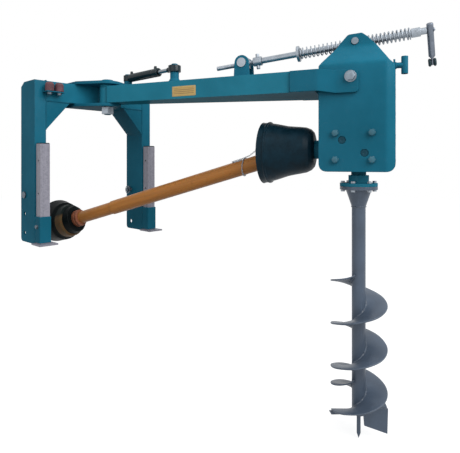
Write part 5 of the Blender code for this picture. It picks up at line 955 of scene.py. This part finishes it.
# Springs: two wound wires round the spindle, closed and ground flat at both ends. They hold the
# head steady between the pressing washer and the collar.
SPRING_R, SPRING_WIRE, SPRING_COILS, DEAD_COILS = 0.024, 0.003, 13, 0.9
TRUNNION_FLAT, WASHER_FACE, COLLAR_FACE = 0.025, -0.258, 0.234


def wound(start, end, steps=36):
    """A coil spring along X: (x, R cos a, R sin a) plus wire r (n cos b + t sin b), where x creeps by
    one wire a turn over the dead coils at both ends and rises evenly between."""
    turn = np.linspace(0, SPRING_COILS, SPRING_COILS * steps + 1)
    span = end - start - 2 * SPRING_WIRE
    creep = 2 * SPRING_WIRE * 1.02
    pitch = (span - 2 * DEAD_COILS * creep) / (SPRING_COILS - 2 * DEAD_COILS)
    rate = creep + (pitch - creep) * np.clip((turn - DEAD_COILS + 0.12) / 0.24, 0, 1) * np.clip(
        (SPRING_COILS - DEAD_COILS + 0.12 - turn) / 0.24, 0, 1)
    x = np.concatenate([[0], np.cumsum((rate[1:] + rate[:-1]) / 2 * np.diff(turn))])
    angle = 2 * np.pi * turn
    path = np.column_stack([start + SPRING_WIRE + x * span / x[-1], SPRING_R * np.cos(angle),
                            SPRING_R * np.sin(angle)])
    return wire(path, SPRING_WIRE, 12, (1, 0, 0))


for label, start, end in (("front", WASHER_FACE, -TRUNNION_FLAT), ("rear", TRUNNION_FLAT, COLLAR_FACE)):
    assembled(label + "_coil_spring", [wound(start + FIT, end - FIT)], zinc, CARRIER, label + "_spring")

# Spindle: a plated rod with a rolled thread at the rear, then a sleeve with the pressing washer
# and the collar that hold the springs, and the crank's seat at the end.
SPINDLE = ("spindle", CARRIER[1])
SPINDLE_R, SLEEVE_R, WASHER_R, CRANK_NECK_R = 0.011, 0.0145, 0.037, 0.006
NUT_TO_TRUNNION = (1.332 - 0.797, 0.712 - 0.658)    # along the boom and up, at rest
NUT_AT = -math.hypot(*NUT_TO_TRUNNION)
SPINDLE_BACK, LOCK_START, LOCK_LONG = NUT_AT - 0.143, NUT_AT + 0.0507, 0.042
LOCK_END, THREAD_PITCH, THREAD_DEEP = LOCK_START + LOCK_LONG, 0.005, 0.0016


def threaded(start, end, radius, steps=40):
    """A rolled thread along X: r = R - d (1 - |sin(pi (x / pitch - a / 2 pi))|^0.8), fading out over
    the first turn at either end."""
    x = np.arange(start, end + 1e-9, THREAD_PITCH / 7)
    angle = turn_of(steps)
    phase = x[:, None] / THREAD_PITCH - angle[None] / (2 * np.pi)
    fade = np.clip((x - start) / THREAD_PITCH, 0, 1) * np.clip((end - x) / THREAD_PITCH, 0, 1)
    body = radius - THREAD_DEEP * (1 - np.abs(np.sin(np.pi * phase)) ** 0.8) * fade[:, None]
    body[[0, -1]] = radius - 0.0015
    rows = np.vstack([np.zeros((1, steps)), body, np.zeros((1, steps))])
    return spun(np.concatenate([x[:1], x, x[-1:]])[:, None], rows, 'X')


assembled("spindle_turned", [
    threaded(SPINDLE_BACK, LOCK_END + 0.002, SPINDLE_R),
    turned(rod(LOCK_END, (-0.270, SLEEVE_R), (WASHER_FACE, WASHER_R), (COLLAR_FACE, SLEEVE_R), (0.272, 0.020),
               (0.2967, SLEEVE_R), (0.331, CRANK_NECK_R)), 'X', 0.0012)], zinc, SPINDLE, "spindle_rod")

# Lock nut: a plated round nut with two tommy bars, done up behind the swivel nut to hold the
# head's angle.
assembled("lock_nut_turned", [
    turned(sleeve(LOCK_START, LOCK_END - FIT, SPINDLE_R + FIT, 0.022), 'X', 0.0016, closed=True)]
    + [turned(rod(0.0185, (0.037, 0.009), way=way), 'Z', 0.0022, (LOCK_START + LOCK_LONG / 2, 0, 0), 40)
       for way in (-1, 1)], zinc, SPINDLE, "spindle_lock_nut")

# Crank: a round bar, bored for the spindle's seat and welded there, with its lower end forged flat.
# Two dark grey half knobs stand on either side of the flat, on a pin through it.
knob_spot = Vector(joints["knob_spin"]["pos_m"]) - Vector(joints["crank_turn"]["pos_m"])
CRANK = seated("spindle", "crank_turn", spindle_way, -knob_spot)
KNOB = seated("crank_grip", "knob_spin", spindle_way, -knob_spot)
CRANK_AT, CRANK_R, CRANK_FOOT = (0.311, 0, 0), 0.014, -0.144
FLAT_HALF, FLAT_WIDE, FLAT_TOP = 0.0045, 0.013, -0.1249
CRANK_ZINC, KNOB_GREY = (0.17, 0.195, 0.235), (0.032, 0.058, 0.068)


def forged_flat(top, foot, radius, thick, wide, steps=48, rows=14):
    """A bar along Z that goes over from a circle of radius r to a flat of half sizes t and w with a
    round foot: x = (r + (t - r) q) cos a and y = (r + (w - r) q) sin a, where q rises as a smooth
    step, and y is cut at sqrt(w^2 - (z - foot)^2) below the foot's middle."""
    height = np.concatenate([np.linspace(top + 0.014, top - 0.004, rows),
                             foot - wide * np.sin(np.linspace(0, np.pi / 2, rows))])
    share = np.clip((top + 0.012 - height) / 0.014, 0, 1)
    share = (share * share * (3 - 2 * share))[:, None]
    angle = turn_of(steps)
    across, side = [way * (1 - share) + np.sign(way) * np.abs(way) ** power * share
                    for way, power in ((np.cos(angle), 0.45), (np.sin(angle), 0.8))]
    reach = np.where(height < foot, np.sqrt(np.maximum(wide ** 2 - (height - foot) ** 2, 0)), wide)[:, None]
    rings = np.stack([(radius + (thick - radius) * share) * across,
                      (radius + (reach - radius) * share) * side,
                      np.broadcast_to(height[:, None], across.shape)], axis=-1)
    cap = np.repeat(rings[0].mean(axis=0)[None, None], steps, axis=1)
    return np.concatenate([cap, rings]).reshape(-1, 3), grid_faces(rows * 2 + 1, steps)


crank_zinc = plated("crank_zinc", CRANK_ZINC, 0.45)
knob_plastic = rubber("knob_plastic_grain", KNOB_GREY)
flat_points, flat_faces = forged_flat(FLAT_TOP, CRANK_FOOT, CRANK_R, FLAT_HALF, FLAT_WIDE)
assembled("crank_bar", [
    turned(rod(FLAT_TOP + 0.010, (0.030, CRANK_R)), 'Z', (0, 0.0002, 0.006, 0), CRANK_AT, 48, rounding=6),
    (flat_points + np.array(CRANK_AT), flat_faces),
    hoop(0.0072, 0.0026, 'X', (CRANK_AT[0] + 0.0135, 0, 0), 32)], crank_zinc, CRANK, "crank_arm")
assembled("crank_knob_turned", [
    turned(rod(0.0048, (0.0085, 0.0145, 0.018), (0.0130, 0.018), (0.0168, 0.018, 0.0135), way=way), 'X',
           0.0024, CRANK_AT, 48, rounding=6) for way in (-1, 1)]
    + [turned(rod(-0.0055, (0.0055, CRANK_NECK_R)), 'X', centre=CRANK_AT)], knob_plastic, KNOB, "crank_knob")

# Gears, bearings and crosses: machined steel with the cutter's marks, inside the housing and the
# forks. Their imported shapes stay, and take this finish.
machined = Finish("machined_steel", "gear_steel", (0.36, 0.36, 0.37), 0.32, 1.0, own_frame=False)
film = machined.noise(30.0, 4.0, 0.6)
machined.feed("Base Color", machined.blend(machined.ranged(film, 0.35, 0.7), (0.30, 0.30, 0.31),
                                           (0.43, 0.42, 0.41)))
machined.feed("Roughness", machined.ranged(film, 0.3, 0.7, 0.26, 0.46))
machined.bump(machined.noise(520.0, 2.0), 0.00006, 0.6)
for node in ("input_shaft", "input_bearing", "output_bearing", "gearbox_cross", "tractor_cross"):
    for slot in frame["nodes"][node].material_slots:
        slot.material = machined.material

# Drive shaft: a forged fork at each joint, and two telescoping tubes between the joints.
# The tubes lie inside their guards.
shaft_ways = joints["shaft_slide"]["axis"], joints["shaft_yaw"]["axis"]
SHAFT = seated("shaft_outer", "shaft_yaw", *shaft_ways)
INNER_SHAFT = ("shaft_inner", SHAFT[1])
SHAFT_FOOT = seated("shaft_inner", "tractor_joint_swing", *shaft_ways)
forged = plated("forged_steel", (0.20, 0.20, 0.21), 0.48, 0.16, (1, 1, 1), "gear_steel")
for name, node, seating in (("gearbox_fork", "gearbox_yoke", HEAD),
                            ("outer_tube_fork", "outer_shaft", SHAFT),
                            ("inner_tube_fork", "inner_shaft", SHAFT_FOOT),
                            ("tractor_fork_forged", "tractor_yoke", ("tractor_fork", SHAFT_FOOT[1]))):
    eased(name, node, forged, seating, 0.0020)

# Guard tubes: two amber plastic tubes, one sliding in the other, each on a bearing ring on its
# fork's hub. A pinkish collar holds the lower one.
AMBER, COLLAR_PINK = (0.43, 0.172, 0.040), (0.26, 0.088, 0.045)
GUARD_R, INNER_GUARD_R, GUARD_WALL, HUB_SEAT = 0.038, 0.034, 0.0035, 0.0293
GUARD_START, GUARD_END, INNER_START, COLLAR_R = 0.062, 1.100, 0.560, 0.047
SHAFT_ENDS = [Vector(joints[joint]["pos_m"]) for joint in ("tractor_joint_swing", "shaft_yaw")]
SHAFT_LONG = (SHAFT_ENDS[0] - SHAFT_ENDS[1]).length
COLLAR_OUT = SHAFT_LONG - 0.078 - FIT
COLLAR_IN = COLLAR_OUT - 0.036


def drawn_plastic(name, colour):
    """Extruded plastic: long faint streaks along the tube, scuffs across it, a waxy surface."""
    skin = Finish(name, "yellow_plastic", colour, 0.42, Subsurface_Weight=0.06, Subsurface_Scale=0.01,
                  Specular_IOR_Level=0.2)
    streak = skin.noise(60.0, 4.0, 0.6, (0.05, 1, 1))
    tone = skin.blend(skin.ranged(streak, 0.3, 0.7), skin.shade(0.84), skin.shade(1.15))
    scuff = skin.ranged(skin.noise(55.0, 6.0, 0.75, (1, 0.35, 0.35)), 0.58, 0.72, 0, 0.5)
    skin.feed("Base Color", skin.blend(scuff, tone, skin.shade(0.45)))
    skin.feed("Roughness", skin.ranged(streak, 0.3, 0.7, 0.30, 0.50))
    skin.bump(streak, 0.0004, 0.35)
    return skin


amber = drawn_plastic("amber_plastic", AMBER)
collar_pink = drawn_plastic("collar_plastic", COLLAR_PINK)
assembled("outer_guard_pipe", [turned(
    [(GUARD_START, HUB_SEAT), (GUARD_START, GUARD_R + 0.006), (GUARD_START + 0.040, GUARD_R + 0.006),
     (GUARD_START + 0.044, GUARD_R), (GUARD_END - 0.012, GUARD_R), (GUARD_END - 0.010, GUARD_R),
     (GUARD_END, GUARD_R), (GUARD_END, GUARD_R - GUARD_WALL), (GUARD_START + 0.012, GUARD_R - GUARD_WALL),
     (GUARD_START + 0.012, HUB_SEAT)], 'X', 0.0012, closed=True)], amber, SHAFT, "outer_guard_tube")
assembled("inner_guard_pipe", [turned(
    sleeve(INNER_START, COLLAR_IN + 0.010, INNER_GUARD_R - GUARD_WALL, INNER_GUARD_R), 'X', 0.001,
    closed=True)], amber, INNER_SHAFT, "inner_guard_tube")
assembled("inner_guard_collar", [turned(
    [(COLLAR_IN, INNER_GUARD_R + 0.0002), (COLLAR_IN + 0.004, COLLAR_R), (COLLAR_IN + 0.014, COLLAR_R),
     (COLLAR_IN + 0.016, COLLAR_R - 0.002), (COLLAR_IN + 0.020, COLLAR_R - 0.002),
     (COLLAR_IN + 0.022, COLLAR_R), (COLLAR_OUT, COLLAR_R), (COLLAR_OUT, HUB_SEAT),
     (COLLAR_OUT - 0.012, HUB_SEAT), (COLLAR_OUT - 0.012, INNER_GUARD_R + 0.0002)],
    'X', 0.0012, closed=True)], collar_pink, INNER_SHAFT, "inner_guard_tube")

# Guard chain: a light plated chain looped round the outer guard tube, which keeps it from turning
# with the shaft. Its slack lies along the tube, and its hook hangs in the hood's mouth.
CHAIN_AT, CHAIN_R, CHAIN_SAG, HOOK_R = 0.290, 0.0415, 0.014, 0.010
LINK_REACH, LINK_WIDE, LINK_WIRE = 0.0052, 0.0031, 0.0010
CHAIN_SLACK = np.array([
    (0.185, 0.010, 0.078), (0.215, 0.006, 0.058), (0.250, 0.002, 0.046), (0.290, -0.002, 0.0425),
    (0.325, 0.004, 0.0425), (0.343, 0.013, 0.041), (0.330, 0.022, 0.037), (0.305, 0.024, 0.0355),
    (0.286, 0.020, 0.0375)])


def sampled(path, marks, at):
    """Points on the straight lines between a path's points, which stand at the given marks."""
    return np.stack([np.interp(at, marks, path[:, k]) for k in range(3)], axis=-1)


def linked(path):
    """Oval links along a path, alternately flat and on edge. Each is a wire round the closed curve
    centre + L cos u t + W sin u n, where t is the path's heading."""
    marks = np.concatenate([[0], np.cumsum(np.linalg.norm(np.diff(path, axis=0), axis=1))])
    turn = turn_of(14)[:, None]
    links = []
    for count, mark in enumerate(np.arange(LINK_REACH, marks[-1], LINK_REACH * 1.55)):
        spot, ahead = sampled(path, marks, mark - 0.001), sampled(path, marks, mark + 0.001)
        way = (ahead - spot) / np.linalg.norm(ahead - spot)
        side = np.cross(way, (0.13, 0.4, 0.9))
        side /= np.linalg.norm(side)
        across, through = [(side, np.cross(way, side)), (np.cross(way, side), side)][count % 2]
        oval = spot + LINK_REACH * np.cos(turn) * way + LINK_WIDE * np.sin(turn) * across
        links.append(wire(oval, LINK_WIRE, 6, through, True))
    return links


around = np.linspace(0, 2 * np.pi, 80)
loop = np.column_stack([CHAIN_AT - CHAIN_SAG * np.sin(around), CHAIN_R * np.cos(around),
                        CHAIN_R * np.sin(around)])
last = len(CHAIN_SLACK) - 1
slack = sampled(CHAIN_SLACK, np.arange(last + 1), np.linspace(0, last, 90))
hook = CHAIN_SLACK[0] + np.column_stack([HOOK_R * (np.cos(around) - 1), 0 * around, HOOK_R * np.sin(around)])
assembled("guard_chain", linked(loop) + linked(slack) + [wire(hook[:66], 0.0016, 8, (0, 1, 0))], zinc, SHAFT)

# Tractor guard: a flexible black rubber funnel in steps, bent towards the tractor's drive stub,
# with a worn olive band round its second step, blackened above.
CONE_BEFORE, CONE_BEYOND, CONE_WALL, CONE_BORE = 0.078, 0.100, 0.005, 0.0305
CONE = [(0.00, 0.072), (0.01, 0.074), (0.18, 0.078), (0.20, 0.080), (0.24, 0.088), (0.27, 0.0885),
        (0.46, 0.0925), (0.50, 0.095), (0.54, 0.106), (0.58, 0.1075), (0.96, 0.1205), (0.985, 0.122),
        (1.00, 0.120)]                      # share of the way along, radius
BAND = [(0.19, 0.0805), (0.20, 0.0815), (0.24, 0.0900), (0.27, 0.0905), (0.42, 0.0936), (0.43, 0.0926),
        (0.42, 0.0914), (0.27, 0.0883), (0.24, 0.0878), (0.20, 0.0798)]
BAND_OLIVE, BAND_BROWN, BAND_BLACK = (0.090, 0.066, 0.028), (0.150, 0.066, 0.026), (0.004, 0.010, 0.009)


def bent(stations, start, corner, end, steps=80):
    """Rings of the given radii round a curve (1-s)^2 A + 2s(1-s) B + s^2 C, each square to it."""
    share, radius = np.asarray(stations, float).T
    start, corner, end = (np.asarray(spot, float) for spot in (start, corner, end))
    s = share[:, None]
    middle = start * (1 - s) ** 2 + corner * 2 * s * (1 - s) + end * s ** 2
    heading = (corner - start) * (1 - s) + (end - corner) * s
    heading /= np.linalg.norm(heading, axis=1)[:, None]
    side_way = np.cross((0, 0, 1), heading)
    side_way /= np.linalg.norm(side_way, axis=1)[:, None]
    up_way = np.cross(heading, side_way)
    angle = turn_of(steps)[None, :, None]
    rings = middle[:, None] + radius[:, None, None] * (
        np.cos(angle) * side_way[:, None] + np.sin(angle) * up_way[:, None])
    return rings.reshape(-1, 3), grid_faces(len(share), steps, True)


funnel_rubber = rubber("funnel_rubber", (0.0030, 0.0055, 0.0060), roughness=0.45, gloss=0.06)
cone_back = 2 * CONE_WALL / (CONE_BEFORE + CONE_BEYOND)
cone_inner = [(max(share, cone_back), radius - CONE_WALL) for share, radius in CONE[1:-1]]
cone_stations = [(0.0, CONE_BORE)] + CONE + cone_inner[::-1] + [(cone_back, CONE_BORE)]
stub_way = SHAFT_FOOT[1].to_3x3().transposed() @ Vector((-1, 0, 0))
cone_path = ((-CONE_BEFORE, 0, 0), (0, 0, 0), tuple(stub_way * CONE_BEYOND))
assembled("tractor_funnel", [bent(cone_stations, *cone_path)], funnel_rubber, SHAFT_FOOT,
          "tractor_cone_guard")
band = Finish("olive_band", "black_plastic", BAND_OLIVE, 0.5, Specular_IOR_Level=0.1)
stain = band.blend(band.ranged(band.noise(70.0, 4.0, 0.6), 0.35, 0.7), BAND_OLIVE, BAND_BROWN)
high = band.ranged(band.node("SeparateXYZ", {0: band.place}, "Z"), 0.030, 0.050)
band.feed("Base Color", band.blend(high, stain, BAND_BLACK))
assembled("tractor_funnel_band", [bent(BAND, *cone_path)], band, SHAFT_FOOT)

# Auger: a drive flange on the gearbox's output shaft, and under it the auger's own flange, cone
# and tube. Six bolts join the two. The flights and blades are welded on, and all is sprayed grey.
AUGER = seated("auger", "auger_spin", boom_way)
HUB_R, HUB_TOP, FLANGE_R, FLANGE_FACE, FLANGE_THICK = 0.045, -0.4248, 0.083, -0.475, 0.015
STUB_R, STUB_TOP, CROWN_R, CROWN_TEETH, PINION_TEETH = 0.0225, -0.353, 0.072, 30, 10
TUBE_R, TUBE_END, CONE_R, CONE_LONG, BOLT_RING, BOLT_FLATS = 0.0305, -1.502, 0.057, 0.078, 0.0705, 0.0175
AUGER_GREY = (0.068, 0.094, 0.135)


def worked_steel(name, colour):
    """Grey enamel on ground-working steel: rubbed bright along edges, and scratched round the axis
    by soil."""
    coat = Finish(name, "auger_paint", colour, 0.42, 0.15)
    cloud = coat.noise(9.0, 5.0, 0.6)
    tone = coat.blend(coat.ranged(cloud, 0.3, 0.7), coat.shade(0.82), coat.shade(1.18))
    scratch = coat.ranged(coat.noise(200.0, 3.0, 0.6, (1, 1, 0.1)), 0.60, 0.72, 0, 0.35)
    tone = coat.blend(scratch, tone, coat.shade(1.7))
    chips = coat.ranged(coat.noise(90.0, 5.0, 0.7), 0.45, 0.58, 0, 0.75)
    rubbed = coat.maths('MULTIPLY', coat.edges(0.0030), chips)
    coat.feed("Base Color", coat.blend(rubbed, tone, (0.27, 0.28, 0.30)))
    coat.feed("Roughness", coat.ranged(cloud, 0.3, 0.7, 0.34, 0.52))
    coat.bump(coat.noise(180.0, 4.0), 0.00025)
    return coat


def crown_gear(face, tall, apex, columns=12, rows=6):
    """Bevel teeth round Z: at angle a and distance d from the apex the cone's surface is lifted by
    tall (d / D) times a flat-topped wave of teeth x a."""
    cone = math.atan2(CROWN_TEETH, PINION_TEETH)
    slant = CROWN_R / math.sin(cone)
    angle = turn_of(CROWN_TEETH * columns)
    wave = np.clip(np.cos(CROWN_TEETH * angle) * 1.4 + 0.1, -0.62, 0.42)
    distance = np.linspace(slant, slant - face, rows)[:, None]
    lift = wave[None] * tall * distance / slant
    radius = distance * math.sin(cone) + lift * math.cos(cone)
    height = apex - distance * math.cos(cone) + lift * math.sin(cone)
    level = np.ones((1, len(angle)))
    bore, foot, top = level * (radius.min() - 0.030), level * (height.min() - 0.012), height.max() - 0.004
    radius = np.vstack([bore, level * (CROWN_R - 0.006), radius, bore])
    height = np.vstack([foot, foot, height, level * top])
    return spun(height, radius, 'Z', closed=True)


auger_paint = worked_steel("auger_grey_enamel", AUGER_GREY)
# The drive flange's paint is a lighter copy of the petrol blue. This is painted light, which offsets the
# shade that the head casts on it.
hub_blue_painted_light = enamel("hub_enamel_painted_light", (0.022, 0.205, 0.305), "gear_steel")
flange_foot = FLANGE_FACE + 0.00015
flange_top, cone_top = flange_foot + FLANGE_THICK, FLANGE_FACE - FLANGE_THICK
assembled("drive_flange", [turned(
    rod(flange_foot, (flange_top, FLANGE_R), (HUB_TOP, HUB_R), (STUB_TOP, STUB_R)), 'Z', 0.0016, steps=96)],
    hub_blue_painted_light, AUGER, "output_shaft")
assembled("crown_wheel", [
    turned(rod(STUB_TOP, (-0.336, 0.040, 0.048), (-0.330, 0.048)), 'Z', 0.001),
    crown_gear(0.018, 0.0070, BOX_Z)], forged, AUGER, "output_shaft")
bolt_turns = [2 * math.pi * (k + 0.25) / 6 for k in range(6)]
assembled("flange_bolts", [
    hexagon(BOLT_FLATS, foot, foot + rise, 'Z', (BOLT_RING * math.cos(a), BOLT_RING * math.sin(a), 0), 0, 60)
    for a in bolt_turns for foot, rise in ((flange_top, 0.009), (cone_top, -0.009))], zinc, AUGER)
assembled("auger_pipe", [
    turned(rod(FLANGE_FACE, (cone_top, FLANGE_R), (cone_top - CONE_LONG, CONE_R, TUBE_R), (TUBE_END, TUBE_R)),
           'Z', 0.0016, steps=96),
    hoop(CONE_R + 0.001, 0.0040, 'Z', (0, 0, cone_top)),
    hoop(TUBE_R + 0.0005, 0.0030, 'Z', (0, 0, cone_top - CONE_LONG + 0.001))],
    auger_paint, AUGER, "auger_tube")
point = [(x, TUBE_END + z) for x, z in ((-0.0085, 0.004), (-0.0085, -0.088), (0, -0.112), (0.0085, -0.088),
                                        (0.0085, 0.004))]
assembled("auger_point", cut_plate(point, [], -0.005, 0.010, 0.0012, 'XZ'), auger_paint, AUGER)

# Flights and blades: ribbons pressed from 7 mm plate and wound round the tube, welded along their
# inner edges. The blades stand under the flights' lower ends.
FLIGHTS = (                             # node, top, angle of the top, turns, degrees skipped
    ("main_flight", -0.857, 280.0, 3.222, 32.0), ("lower_flight", -1.338, 260.0, 0.687, 16.0))
FLIGHT_R, PITCH, FLIGHT_THICK, RUN_IN = 0.125, 0.195, 0.007, 52.0


def flight(top, top_turn, turns, skipped, step=4.0):
    """A right-handed ribbon: at angle a0 - a the section stands at height z0 - pitch a / 360, from
    the tube out to r, where r grows as a sine over its first degrees. Its outer rim is rounded."""
    swept = np.linspace(skipped, turns * 360, int((turns * 360 - skipped) / step) + 1)
    angle = np.radians(top_turn - swept)
    height = top - PITCH * swept / 360
    inner = TUBE_R + FIT
    grown = np.sin(np.pi / 2 * np.minimum(1, (swept - skipped) / RUN_IN))
    outer = inner + 0.012 + (FLIGHT_R - inner - 0.012) * grown
    half = FLIGHT_THICK / 2
    rim = np.linspace(-np.pi / 2, np.pi / 2, 7)
    share = np.concatenate([[0, 0.25, 0.5, 0.75], np.ones(7), [0.75, 0.5, 0.25, 0]])
    bulge = np.concatenate([np.zeros(4), (np.cos(rim) - 1) * half * 0.55, np.zeros(4)])
    lift = np.concatenate([np.full(4, -half), np.sin(rim) * half, np.full(4, half)])
    radius = inner + (outer - inner)[:, None] * share[None] + bulge[None]
    ripple = 0.0006 * np.sin(swept * 0.11)[:, None] * share[None]
    level = height[:, None] + lift[None] + ripple
    rows = np.stack([radius * np.cos(angle)[:, None], radius * np.sin(angle)[:, None], level], axis=-1)
    ends = [np.repeat(rows[k].mean(axis=0)[None, None], rows.shape[1], axis=1) for k in (0, -1)]
    rows = np.concatenate([ends[0], rows, ends[1]])
    return rows.reshape(-1, 3), grid_faces(len(rows), rows.shape[1])


def flight_seam(top, top_turn, turns, skipped, lift):
    """The fillet along a flight's inner edge: a wire wound round the tube with the same pitch."""
    swept = np.arange(skipped + 4.0, turns * 360 - 4.0, 1.7)
    angle = np.radians(top_turn - swept)
    path = np.column_stack([(TUBE_R + 0.001) * np.cos(angle), (TUBE_R + 0.001) * np.sin(angle),
                            top - PITCH * swept / 360 + lift])
    return wire(path, SEAM_R * (1 + 0.12 * np.sin(swept * 1.9)), 8)


for node, *winding in FLIGHTS:
    assembled(node + "_ribbon", [flight(*winding), flight_seam(*winding, FLIGHT_THICK / 2),
                                 flight_seam(*winding, -FLIGHT_THICK / 2)], auger_paint, AUGER, node)
for node in ("digging_blade", "edge_blade"):
    eased(node + "_cut", node, auger_paint, AUGER, 0.0012)
